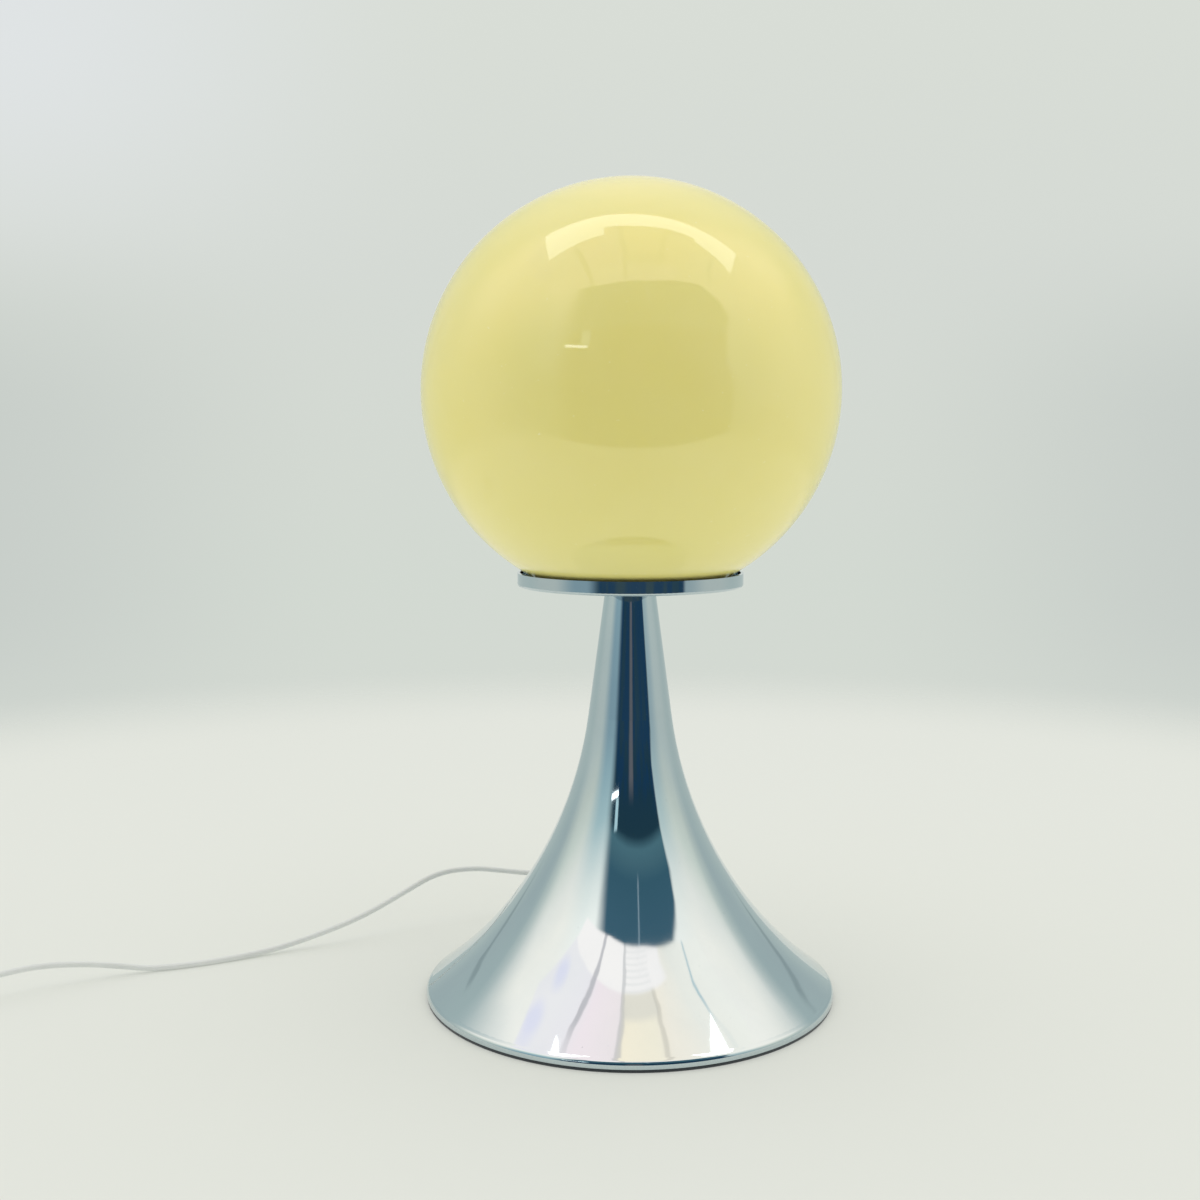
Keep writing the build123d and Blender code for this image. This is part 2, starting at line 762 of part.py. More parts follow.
# ---------------------------------------------------------------------------
# Lead inside the lamp: outlet bush, clamp, cord up the tube, cores
# ---------------------------------------------------------------------------
collar_end = flare_radius(outlet_height + outlet_collar_radius, sheet) - fit_gap
collar_start = collar_end - outlet_collar_length
with BuildPart() as outlet_bush:
    with BuildSketch(across_plane(outlet_azimuth, collar_start, outlet_height)):
        Circle(outlet_collar_radius)
    extrude(amount=outlet_collar_length)
    with BuildSketch(across_plane(outlet_azimuth, collar_start, outlet_height)):
        Circle(outlet_barrel_radius)
    extrude(amount=outlet_barrel_end - collar_start)
    with BuildSketch(across_plane(outlet_azimuth, collar_start, outlet_height)):
        Circle(cord_radius + fit_gap)
    extrude(amount=outlet_barrel_end - collar_start, mode=Mode.SUBTRACT)
outlet_bush.part.label = "outlet_bush"
export_step(outlet_bush.part, "parts/outlet_bush.step")

with BuildPart() as outlet_relief:
    with BuildSketch(across_plane(outlet_azimuth, outlet_barrel_end, outlet_height)):
        Circle(outlet_barrel_radius - seat_gap)
    with BuildSketch(across_plane(outlet_azimuth, outlet_relief_end, outlet_height)):
        Circle(relief_tip_radius)
    loft()
outlet_relief.part.label = "outlet_relief"
export_step(outlet_relief.part, "parts/outlet_relief.step")

clamp_reach = cord_radius + 2 * fit_gap
clamp_rise = cord_on_weight - weight_top
with BuildPart() as cord_clamp:
    with BuildSketch(across_plane(outlet_azimuth, clamp_place - clamp_length / 2, weight_top)):
        with BuildLine():
            Polyline(
                (clamp_reach, 0),
                (clamp_half_width, 0),
                (clamp_half_width, clamp_leaf),
                (clamp_reach + clamp_leaf, clamp_leaf),
                (clamp_reach + clamp_leaf, clamp_rise),
            )
            CenterArc((0, clamp_rise), clamp_reach + clamp_leaf, 0, arc_size=90)
            Line((0, clamp_rise + clamp_reach + clamp_leaf), (0, clamp_rise + clamp_reach))
            CenterArc((0, clamp_rise), clamp_reach, 0, arc_size=90)
            Line((clamp_reach, clamp_rise), (clamp_reach, 0))
        make_face()
        mirror(about=Plane.YZ)
    extrude(amount=clamp_length)
    with Locations(*[Plane(origin=place) for place in clamp_screw_places]):
        Hole(screw_radius + fit_gap, depth=3 * clamp_leaf)
cord_clamp.part.label = "cord_clamp"
export_step(cord_clamp.part, "parts/cord_clamp.step")

with BuildPart() as clamp_screws:
    for place in clamp_screw_places:
        with BuildSketch(Plane(origin=place + Vector(0, 0, clamp_leaf))):
            Circle(screw_radius)
        extrude(amount=-clamp_screw_length)
        with BuildSketch(Plane(origin=place + Vector(0, 0, clamp_leaf))):
            Circle(clamp_head_radius)
        extrude(amount=clamp_head_height)
clamp_screws.part.label = "clamp_screws"
export_step(clamp_screws.part, "parts/clamp_screws.step")

inner_cord_end = cap_floor_top + inner_cord_stub
inner_route = [
    (outlet_barrel_end, outlet_height),
    (inner_sweep_outer_distance, outlet_height),
    (inner_sweep_inner_distance, cord_on_weight),
    (0.0, cord_on_weight),
    (0.0, inner_cord_end),
]
with BuildPart() as inner_cord:
    with BuildLine(polar_plane(outlet_azimuth)) as inner_line:
        FilletPolyline(
            *inner_route, radius=[inner_sweep_radius, inner_sweep_radius, inner_bend_radius]
        )
    with BuildSketch(across_plane(outlet_azimuth, outlet_barrel_end, outlet_height)):
        RegularPolygon(cord_radius, cord_sides)
    sweep(path=inner_line.wires()[0])
inner_cord.part.label = "inner_cord"
export_step(inner_cord.part, "parts/inner_cord.step")

# The two cores leave the cord's end side by side and rise into the insert.
core_spread = wire_radius + 2 * fit_gap
with BuildPart() as core_wires:
    for side in (-1, 1):
        with BuildLine() as core_line:
            FilletPolyline(
                (side * core_spread, 0, inner_cord_end),
                (side * core_spread, 0, inner_cord_end + core_run),
                (side * terminal_wire_place, 0, insert_bottom - core_run),
                (side * terminal_wire_place, 0, terminal_height),
                radius=core_bend_radius,
            )
        with BuildSketch(Plane.XY.offset(inner_cord_end)):
            with Locations((side * core_spread, 0)):
                RegularPolygon(wire_radius, cord_sides)
        sweep(path=core_line.wires()[0])
core_wires.part.label = "core_wires"
export_step(core_wires.part, "parts/core_wires.step")


# ---------------------------------------------------------------------------
# The lead outside the lamp
# ---------------------------------------------------------------------------
def corner_radii(route):
    """Each corner's arc takes up 0.45 of its shorter run."""
    radii = []
    for before, here, after in zip(route, route[1:], route[2:]):
        arriving = Vector(*here) - Vector(*before)
        leaving = Vector(*after) - Vector(*here)
        turn = radians(arriving.get_angle(leaving))
        radii.append(0.45 * min(arriving.length, leaving.length) / tan(turn / 2))
    return radii


def route_start(route):
    """Plane square to the first run of a route, at its start."""
    return Plane(origin=route[0], z_dir=Vector(*route[1]) - Vector(*route[0]))


def report_tube(name, part, line):
    """Prints a tube's length, and its volume beside its section times that length."""
    section = cord_sides / 2 * cord_radius**2 * sin(2 * pi / cord_sides)
    print(name, "length", round(line.length, 1), end=" ")
    print("volume", round(part.volume, 1), "expected", round(section * line.length, 1))


switch_axis = switch_bottom_height
relief_tip = switch_length / 2 + switch_relief_length
lead_end = switch_centre_x + relief_tip
tail_start = switch_centre_x - relief_tip
outlet_tip = across_plane(outlet_azimuth, outlet_relief_end, outlet_height).origin
outlet_run_end = across_plane(outlet_azimuth, outlet_relief_end + outlet_run_length, outlet_height).origin

# From the outlet behind the trumpet, round to the left, down to the floor,
# along it, and up into the switch.
lead_route = [
    tuple(outlet_tip),
    tuple(outlet_run_end),
    (-30.6, 126.7, 20.3),
    (-44.1, 127.2, 21.0),
    (-55.7, 119.4, 23.0),
    (-71.0, 111.0, 27.2),
    (-88.0, 102.0, 31.4),
    (-107.0, 91.5, 31.6),
    (-126.0, 81.0, 22.2),
    (-146.0, 70.0, 13.0),
    (-168.0, 59.5, 6.6),
    (-190.0, 48.5, 2.0),
    (-210.0, 36.5, 1.5),
    (-230.0, 27.0, 1.5),
    (-247.0, 21.5, 1.6),
    (-262.0, 15.5, 5.4),
    (-277.0, 6.0, 9.9),
    (-294.0, -5.5, 13.0),
    (-310.0, -18.0, 13.0),
    (-325.0, -32.0, 11.2),
    (lead_end + switch_run_length, switch_centre_y, switch_axis),
    (lead_end, switch_centre_y, switch_axis),
]
lead_radii = corner_radii(lead_route)
with BuildPart() as cord_lead:
    with BuildLine() as lead_line:
        FilletPolyline(*lead_route, radius=lead_radii)
    with BuildSketch(route_start(lead_route)):
        RegularPolygon(cord_radius, cord_sides)
    sweep(path=lead_line.wires()[0])
print("cord_lead radii", [round(radius, 1) for radius in lead_radii])
report_tube("cord_lead", cord_lead.part, lead_line.wires()[0])
cord_lead.part.label = "cord_lead"
export_step(cord_lead.part, "parts/cord_lead.step")

# The coil spirals in and out at a steady rate, layer on layer. Its points are
# the ends of half turns, on the line through its centre along X.
coil_base = tie_thickness + seat_gap + cord_radius
coil_outer = coil_middle_radius + half_turns_per_layer * turn_pitch / 4
coil_inner = coil_outer - half_turns_per_layer * turn_pitch / 2
coil_points = []
for layer in range(coil_layers):
    for step in range(half_turns_per_layer + 1):
        inward_steps = step if layer % 2 == 0 else half_turns_per_layer - step
        side = -1 if len(coil_points) % 2 == 0 else 1
        coil_points.append(
            Vector(
                coil_centre_x + side * (coil_outer - inward_steps * turn_pitch / 2),
                coil_centre_y,
                coil_base + layer * layer_pitch,
            )
        )
coil_end = coil_points[-1]

with BuildPart() as cord_coil:
    with BuildLine() as coil_line:
        for index in range(len(coil_points) - 1):
            start = coil_points[index]
            end = coil_points[index + 1]
            heading = Vector(0, 1 if index % 2 == 0 else -1, 0)
            reach = (end - start).length / 2
            middle = (start + heading * reach + end + heading * reach) / 2
            TangentArc(start, middle, tangent=heading)
            TangentArc(middle, end, tangent=end - start)
    with BuildSketch(Plane(origin=coil_points[0], z_dir=(0, 1, 0))):
        RegularPolygon(cord_radius, cord_sides)
    sweep(path=coil_line.wires()[0])
coil_wire = coil_line.wires()[0]
report_tube("cord_coil", cord_coil.part, coil_wire)
cord_coil.part.label = "cord_coil"
export_step(cord_coil.part, "parts/cord_coil.step")

# Least gap between turns, on points along the coil's line.
sample_count = 1400
sample_step = coil_wire.length / sample_count
samples = [coil_wire.position_at(i / sample_count) for i in range(sample_count + 1)]
apart = int(6 * cord_radius / sample_step)
least = min(
    hypot(a.X - b.X, a.Y - b.Y, a.Z - b.Z)
    for i, a in enumerate(samples)
    for b in samples[i + apart :]
)
print("cord_coil least gap", round(least - 2 * cord_radius, 2))

# From the switch round to the coil, down to the floor.
tail_route = [
    (tail_start, switch_centre_y, switch_axis),
    (tail_start - switch_run_length, switch_centre_y, switch_axis),
    (-481.0, -32.5, 7.0),
    (-491.0, -20.5, 4.0),
    (-495.0, -5.0, 2.1),
    (-495.5, 11.0, 1.6),
    (-494.5, 25.0, 2.2),
    (coil_points[0].X, coil_centre_y - coil_run_length, coil_base),
    (coil_points[0].X, coil_centre_y, coil_base),
]
tail_radii = corner_radii(tail_route)
with BuildPart() as cord_tail:
    with BuildLine() as tail_line:
        FilletPolyline(*tail_route, radius=tail_radii)
    with BuildSketch(route_start(tail_route)):
        RegularPolygon(cord_radius, cord_sides)
    sweep(path=tail_line.wires()[0])
print("cord_tail radii", [round(radius, 1) for radius in tail_radii])
report_tube("cord_tail", cord_tail.part, tail_line.wires()[0])
cord_tail.part.label = "cord_tail"
export_step(cord_tail.part, "parts/cord_tail.step")

# From the top of the coil down to the plug beside it.
plug_axis = plug_thickness / 2
end_route = [
    (coil_end.X, coil_centre_y, coil_end.Z),
    (coil_end.X, coil_centre_y - coil_run_length, coil_end.Z),
    (-448.8, 26.4, 12.5),
    (-439.4, 16.4, 10.0),
    (-426.0, 16.2, 7.9),
    (-417.0, 25.4, 7.0),
    (plug_centre_x, plug_tip_y - plug_run_length, plug_axis),
    (plug_centre_x, plug_tip_y, plug_axis),
]
end_radii = corner_radii(end_route)
with BuildPart() as cord_end:
    with BuildLine() as end_line:
        FilletPolyline(*end_route, radius=end_radii)
    with BuildSketch(route_start(end_route)):
        RegularPolygon(cord_radius, cord_sides)
    sweep(path=end_line.wires()[0])
print("cord_end radii", [round(radius, 1) for radius in end_radii])
report_tube("cord_end", cord_end.part, end_line.wires()[0])
cord_end.part.label = "cord_end"
export_step(cord_end.part, "parts/cord_end.step")

# A flat strap round the bundle of turns, on the side away from the cord's ends.
bundle_width = coil_outer - coil_inner + 2 * cord_radius + 2 * seat_gap
bundle_height = (coil_layers - 1) * layer_pitch + 2 * cord_radius + 2 * seat_gap
with BuildPart() as coil_tie:
    with BuildSketch(Plane.YZ.offset(coil_centre_x - tie_width / 2)):
        with Locations((coil_centre_y + coil_middle_radius, tie_thickness + bundle_height / 2)):
            RectangleRounded(
                bundle_width + 2 * tie_thickness,
                bundle_height + 2 * tie_thickness,
                tie_corner_radius,
            )
            RectangleRounded(
                bundle_width,
                bundle_height,
                tie_corner_radius - tie_thickness,
                mode=Mode.SUBTRACT,
            )
    extrude(amount=tie_width)
coil_tie.part.label = "coil_tie"
export_step(coil_tie.part, "parts/coil_tie.step")

# ---------------------------------------------------------------------------
# In-line switch
# ---------------------------------------------------------------------------
switch_plane = Plane(origin=(switch_centre_x, switch_centre_y, 0))
switch_split = switch_plane.offset(switch_bottom_height)
switch_height = switch_bottom_height + switch_top_height
relief_half_bore = switch_relief_radius + fit_gap
collar_offset = switch_length / 2 - switch_wall - relief_collar_length - fit_gap
boss_places = [(boss_place_x, -boss_place_y), (-boss_place_x, boss_place_y)]
window_half = window_width / 2
rocker_half_width = window_half - rocker_gap

with BuildPart() as switch_bottom:
    with BuildSketch(switch_plane):
        RectangleRounded(switch_length, switch_width, switch_corner_radius)
    extrude(amount=switch_bottom_height)
    fillet(switch_bottom.faces().sort_by(Axis.Z)[0].edges(), switch_edge_radius)
    with BuildSketch(switch_plane.offset(switch_wall)):
        RectangleRounded(
            switch_length - 2 * switch_wall,
            switch_width - 2 * switch_wall,
            switch_corner_radius - switch_wall,
        )
    extrude(amount=switch_bottom_height, mode=Mode.SUBTRACT)
    with BuildSketch(switch_plane.offset(switch_wall)):
        with Locations(*boss_places):
            Circle(boss_radius)
    extrude(amount=switch_bottom_height - switch_wall - boss_gap / 2)
    with BuildSketch(switch_plane):
        with Locations(*boss_places):
            Circle(screw_radius + fit_gap)
    extrude(amount=switch_bottom_height, mode=Mode.SUBTRACT)
    with BuildSketch(switch_plane):
        with Locations(*boss_places):
            Circle(clamp_head_radius + fit_gap)
    extrude(amount=clamp_head_height + fit_gap, mode=Mode.SUBTRACT)
    with BuildSketch(Plane.YZ.offset(switch_centre_x - switch_length)):
        with Locations((switch_centre_y, switch_axis)):
            Circle(relief_half_bore)
    extrude(amount=2 * switch_length, mode=Mode.SUBTRACT)
switch_bottom.part.label = "switch_bottom"
export_step(switch_bottom.part, "parts/switch_bottom.step")

with BuildPart() as switch_top:
    with BuildSketch(switch_split):
        RectangleRounded(switch_length, switch_width, switch_corner_radius)
    extrude(amount=switch_top_height)
    fillet(switch_top.faces().sort_by(Axis.Z)[-1].edges(), switch_edge_radius)
    with BuildSketch(switch_split):
        RectangleRounded(
            switch_length - 2 * switch_wall,
            switch_width - 2 * switch_wall,
            switch_corner_radius - switch_wall,
        )
    extrude(amount=switch_top_height - switch_wall, mode=Mode.SUBTRACT)
    with BuildSketch(switch_split.offset(boss_gap / 2)):
        with Locations(*boss_places):
            Circle(boss_radius)
    extrude(amount=switch_top_height - switch_wall)
    with BuildSketch(switch_plane.offset(rocker_axis_height - trunnion_radius - bearing_wall)):
        with Locations((0, window_half + bearing_wall / 2), (0, -window_half - bearing_wall / 2)):
            Rectangle(4 * trunnion_radius, bearing_wall)
    extrude(until=Until.LAST)
    with BuildSketch(switch_split):
        with Locations(*boss_places):
            Circle(screw_radius + fit_gap)
    extrude(amount=switch_top_height - switch_wall, mode=Mode.SUBTRACT)
    with BuildSketch(switch_split):
        Rectangle(window_length, window_width)
    extrude(amount=2 * switch_top_height, mode=Mode.SUBTRACT)
    with BuildSketch(Plane.XZ.offset(-switch_centre_y)):
        with Locations((switch_centre_x, rocker_axis_height)):
            Circle(trunnion_radius + fit_gap)
    extrude(amount=window_half + trunnion_length + fit_gap, both=True, mode=Mode.SUBTRACT)
    with BuildSketch(Plane.YZ.offset(switch_centre_x - switch_length)):
        with Locations((switch_centre_y, switch_axis)):
            Circle(relief_half_bore)
    extrude(amount=2 * switch_length, mode=Mode.SUBTRACT)
switch_top.part.label = "switch_top"
export_step(switch_top.part, "parts/switch_top.step")

# The rocker's top is two flats that meet in a shallow valley over its pins. It
# rests tilted, pressed down at the end towards the lamp.
rocker_half = rocker_length / 2
rocker_plane = Plane(
    origin=(switch_centre_x, switch_centre_y, rocker_axis_height),
    x_dir=(cos(radians(rocker_tilt)), 0, -sin(radians(rocker_tilt))),
    z_dir=(0, -1, 0),
)
with BuildPart() as switch_rocker:
    with BuildSketch(rocker_plane):
        with BuildLine():
            Polyline(
                (-rocker_half, 0),
                (-rocker_half, rocker_end_rise),
                (0, rocker_middle_rise),
                (rocker_half, rocker_end_rise),
                (rocker_half, 0),
                (rocker_half - rocker_skirt_drop, -rocker_skirt_drop),
                (-rocker_half + rocker_skirt_drop, -rocker_skirt_drop),
                close=True,
            )
        make_face()
    extrude(amount=rocker_half_width, both=True)
    with BuildSketch(rocker_plane):
        Circle(trunnion_radius)
    extrude(amount=window_half + trunnion_length - fit_gap, both=True)
switch_rocker.part.label = "switch_rocker"
export_step(switch_rocker.part, "parts/switch_rocker.step")

# Overmoulded sleeves at both ends: a collar held inside the halves, a barrel
# through the wall and a taper down to the cord.
with BuildPart() as switch_reliefs:
    for side in (-1, 1):
        inside = Plane(
            origin=(switch_centre_x + side * collar_offset, switch_centre_y, switch_axis),
            x_dir=(0, 1, 0),
            z_dir=(side, 0, 0),
        )
        wall_plane = inside.offset(switch_length / 2 - collar_offset)
        with BuildSketch(inside):
            Circle(relief_half_bore - 2 * fit_gap)
        extrude(amount=switch_length / 2 - collar_offset)
        with BuildSketch(wall_plane):
            Circle(switch_relief_radius)
        with BuildSketch(wall_plane.offset(switch_relief_length)):
            Circle(relief_tip_radius)
        loft()
switch_reliefs.part.label = "switch_reliefs"
export_step(switch_reliefs.part, "parts/switch_reliefs.step")

# Two brass blades stand on the bottom half, one under each end of the rocker.
with BuildPart() as switch_contacts:
    with BuildSketch(switch_plane.offset(switch_wall)):
        with Locations((-blade_width, 0), (blade_width, 0)):
            Rectangle(blade_width, blade_width)
    extrude(amount=blade_leaf)
    with BuildSketch(switch_plane.offset(switch_wall)):
        with Locations((-blade_width, 0), (blade_width, 0)):
            Rectangle(blade_leaf, blade_width)
    extrude(amount=blade_height)
switch_contacts.part.label = "switch_contacts"
export_step(switch_contacts.part, "parts/switch_contacts.step")

switch_screw_top = switch_height - switch_wall - screw_end_gap
with BuildPart() as switch_screws:
    with BuildSketch(switch_plane.offset(clamp_head_height)):
        with Locations(*boss_places):
            Circle(screw_radius)
    extrude(amount=switch_screw_top - clamp_head_height)
    with BuildSketch(switch_plane.offset(boss_gap)):
        with Locations(*boss_places):
            Circle(clamp_head_radius)
    extrude(amount=clamp_head_height - boss_gap)
switch_screws.part.label = "switch_screws"
export_step(switch_screws.part, "parts/switch_screws.step")

# ---------------------------------------------------------------------------
# Plug
# ---------------------------------------------------------------------------
plug_rear = plug_tip_y + plug_relief_length
plug_plane = Plane(origin=(plug_centre_x, plug_rear, 0), x_dir=(0, 1, 0), z_dir=(0, 0, 1))
plug_face = Plane(
    origin=(plug_centre_x, plug_rear + plug_length, plug_axis), x_dir=(-1, 0, 0), z_dir=(0, 1, 0)
)
pin_places = [(side * pin_spacing / 2, 0) for side in (-1, 1)]

with BuildPart() as plug_relief:
    with BuildSketch(plug_face.offset(-plug_length - plug_relief_length)):
        Circle(relief_tip_radius)
    with BuildSketch(plug_face.offset(-plug_length)):
        Circle(plug_relief_radius)
    loft()
plug_relief.part.label = "plug_relief"
export_step(plug_relief.part, "parts/plug_relief.step")

# The body narrows in two hollow grips from its face to its cord end.
grip_half_width = (plug_front_half_width + plug_rear_half_width) / 2 - plug_grip_sag
with BuildPart() as plug_body:
    with BuildSketch(plug_plane):
        with BuildLine():
            Line((0, 0), (0, plug_rear_half_width))
            ThreePointArc(
                (0, plug_rear_half_width),
                (plug_grip_length / 2, grip_half_width),
                (plug_grip_length, plug_front_half_width),
            )
            Polyline(
                (plug_grip_length, plug_front_half_width),
                (plug_length, plug_front_half_width),
                (plug_length, 0),
            )
            mirror(about=Plane.XZ)
        make_face()
    extrude(amount=plug_thickness)
    fillet(plug_body.faces().sort_by(Axis.Y)[-1].edges().filter_by(Axis.Z), plug_edge_radius)
    fillet(plug_body.faces().sort_by(Axis.Z)[-1].edges(), plug_edge_radius / 2)
    fillet(plug_body.faces().sort_by(Axis.Z)[0].edges(), plug_edge_radius / 2)
    with BuildSketch(plug_face.offset(-pin_embed)):
        with Locations(*pin_places):
            Circle(pin_sleeve_radius + fit_gap)
    extrude(amount=2 * pin_embed, mode=Mode.SUBTRACT)
plug_body.part.label = "plug_body"
export_step(plug_body.part, "parts/plug_body.step")

with BuildPart() as plug_pins:
    with BuildSketch(plug_face.offset(-pin_embed)):
        with Locations(*pin_places):
            Circle(pin_root_radius)
    extrude(amount=pin_embed + pin_sleeve_length)
    with BuildSketch(plug_face.offset(pin_sleeve_length)):
        with Locations(*pin_places):
            Circle(pin_radius)
    extrude(amount=pin_length - pin_sleeve_length)
    pin_tips = plug_pins.faces().filter_by(Axis.Y).group_by(Axis.Y)[-1].edges()
    fillet(pin_tips, pin_tip_radius)
plug_pins.part.label = "plug_pins"
export_step(plug_pins.part, "parts/plug_pins.step")

with BuildPart() as pin_sleeves:
    with BuildSketch(plug_face.offset(-pin_embed)):
        with Locations(*pin_places):
            Circle(pin_sleeve_radius)
            Circle(pin_root_radius + fit_gap / 2, mode=Mode.SUBTRACT)
    extrude(amount=pin_embed + pin_sleeve_length)
pin_sleeves.part.label = "pin_sleeves"
export_step(pin_sleeves.part, "parts/pin_sleeves.step")

stretches = (lead_line, coil_line, tail_line, end_line)
free_length = sum(stretch.wires()[0].length for stretch in stretches)
print("lead from outlet to plug", round(free_length + 2 * relief_tip))
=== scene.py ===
import json
from math import cos, pi, radians, sin, sqrt

import bmesh
import bpy
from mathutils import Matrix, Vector


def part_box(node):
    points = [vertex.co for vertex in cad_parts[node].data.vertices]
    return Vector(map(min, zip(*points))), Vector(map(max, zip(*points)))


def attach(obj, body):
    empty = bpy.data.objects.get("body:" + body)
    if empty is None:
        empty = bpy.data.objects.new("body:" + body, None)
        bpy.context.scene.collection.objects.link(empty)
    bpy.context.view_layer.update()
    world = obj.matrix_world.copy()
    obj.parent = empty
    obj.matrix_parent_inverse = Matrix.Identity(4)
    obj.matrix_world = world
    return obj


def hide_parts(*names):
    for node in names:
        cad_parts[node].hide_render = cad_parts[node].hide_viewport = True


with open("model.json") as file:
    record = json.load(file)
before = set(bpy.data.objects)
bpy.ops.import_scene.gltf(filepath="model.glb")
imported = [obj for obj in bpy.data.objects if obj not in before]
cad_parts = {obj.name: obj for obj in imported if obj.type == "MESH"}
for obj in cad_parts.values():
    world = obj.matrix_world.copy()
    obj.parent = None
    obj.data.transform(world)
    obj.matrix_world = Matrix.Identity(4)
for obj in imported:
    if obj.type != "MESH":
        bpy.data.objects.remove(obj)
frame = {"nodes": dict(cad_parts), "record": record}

MM = 0.001
scene = bpy.context.scene
nodes = frame["nodes"]
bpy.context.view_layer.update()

# ---------------------------------------------------------------------------
# Camera
# ---------------------------------------------------------------------------
CAMERA_PLACE = (-0.01476, -0.6957, 0.2662)
CAMERA_LENS, SENSOR_WIDTH = 42.954, 36
LOOK_DOWN = 5.81

camera_data = bpy.data.cameras.new("camera")
camera_data.sensor_width = SENSOR_WIDTH
camera_data.lens = CAMERA_LENS
camera_data.clip_start = 0.01
camera = bpy.data.objects.new("camera", camera_data)
camera.location = CAMERA_PLACE
camera.rotation_euler = (radians(90 - LOOK_DOWN), 0, 0)
scene.collection.objects.link(camera)
scene.camera = camera

# ---------------------------------------------------------------------------
# Cord: one line from the foot to the switch, one from the switch to the plug
# ---------------------------------------------------------------------------
CORD_RADIUS = 1.5


def cord_curve(name, points):
    """A round cord along a NURBS spline with these points, in mm, as its control points."""
    data = bpy.data.curves.new(name, "CURVE")
    data.dimensions = "3D"
    data.bevel_depth = 1.0
    data.bevel_resolution = 6
    data.use_fill_caps = True
    spline = data.splines.new("NURBS")
    spline.points.add(len(points) - 1)
    for point, (x, y, z) in zip(spline.points, points):
        point.co = (x * MM, y * MM, z * MM, 1)
        point.radius = CORD_RADIUS * MM
    spline.order_u = 3
    spline.use_endpoint_u = True
    spline.resolution_u = 8
    piece = bpy.data.objects.new(name, data)
    scene.collection.objects.link(piece)
    return piece


LEAD = [
    (-18.75, 106.31, 20.0),
    (-20.83, 118.13, 20.0),
    (-30.6, 126.7, 20.3),
    (-44.1, 127.2, 21.0),
    (-55.7, 119.4, 23.0),
    (-71.0, 111.0, 27.2),
    (-88.0, 102.0, 31.4),
    (-107.0, 91.5, 31.6),
    (-126.0, 81.0, 22.2),
    (-146.0, 70.0, 13.0),
    (-168.0, 59.5, 6.6),
    (-190.0, 48.5, 2.0),
    (-210.0, 36.5, 1.5),
    (-230.0, 27.0, 1.5),
    (-247.0, 21.5, 1.6),
    (-262.0, 15.5, 5.4),
    (-277.0, 6.0, 9.9),
    (-294.0, -5.5, 13.0),
    (-310.0, -18.0, 13.0),
    (-325.0, -32.0, 11.2),
    (-340.0, -38.0, 9.5),
    (-352.0, -38.0, 9.5),
]
TAIL = [
    (-454.0, -38.0, 9.5),
    (-466.0, -38.0, 9.5),
    (-481.0, -32.5, 7.0),
    (-491.0, -20.5, 4.0),
    (-495.0, -5.0, 2.1),
    (-495.5, 11.0, 1.6),
    (-494.5, 25.0, 2.2),
    (-493.2, 39.0, 2.7),
]
END = [
    (-449.2, 39.0, 14.4),
    (-448.8, 26.4, 12.5),
    (-439.4, 16.4, 10.0),
    (-426.0, 16.2, 7.9),
    (-417.0, 25.4, 7.0),
    (-416.2, 36.0, 6.85),
    (-416.2, 44.0, 6.85),
]
COIL_CENTRE = Vector((-471.2, 50.0, 0))
COIL_OUTER, COIL_BASE, COIL_LAYER = 22.0, 2.7, 3.9
COIL_LAYERS, HALF_TURNS, DRAW_IN = 4, 4, 2
POINTS_PER_HALF_TURN = 8
# The spline runs inside its control points, so these lie further out than the turns, by this ratio.
REACH_OUT = 1.0195

# The layers spiral in and out by turns, and each half turn ends on a line through the centre.
coil = []
ends = []
for layer in range(COIL_LAYERS):
    for step in range(HALF_TURNS + 1):
        inward = step if layer % 2 == 0 else HALF_TURNS - step
        side = -1 if len(ends) % 2 == 0 else 1
        reach = side * (COIL_OUTER - DRAW_IN * inward)
        ends.append(COIL_CENTRE + Vector((reach, 0, COIL_BASE + COIL_LAYER * layer)))
for index in range(len(ends) - 1):
    start, end = ends[index], ends[index + 1]
    middle = (start + end) / 2
    heading = Vector((0, 1 if index % 2 == 0 else -1, 0))
    half = (end - start).length / 2
    for point in range(POINTS_PER_HALF_TURN):
        angle = pi * (point + 0.5) / POINTS_PER_HALF_TURN
        place = middle + REACH_OUT * ((start - middle) * cos(angle) + heading * half * sin(angle))
        place.z = start.z + (end.z - start.z) * (point + 0.5) / POINTS_PER_HALF_TURN
        coil.append(tuple(place))

lead_cord = cord_curve("lead_cord", LEAD)
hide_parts("cord_lead")
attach(lead_cord, "lamp")
plug_cord = cord_curve("plug_cord", TAIL + coil + END)
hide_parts("cord_tail", "cord_coil", "cord_end")
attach(plug_cord, "lamp")


# ---------------------------------------------------------------------------
# Turned pieces of the foot: the felt under it, widened past the rim as painted shade for the gap
# beneath, and the roll along its rim
# ---------------------------------------------------------------------------
TURN_STEPS = 256


def arc(centre, radius, start, end, steps):
    """Points (r, z) on an arc, from one angle in degrees to another."""
    angles = [radians(start + (end - start) * index / steps) for index in range(steps + 1)]
    return [(centre[0] + radius * cos(a), centre[1] + radius * sin(a)) for a in angles]


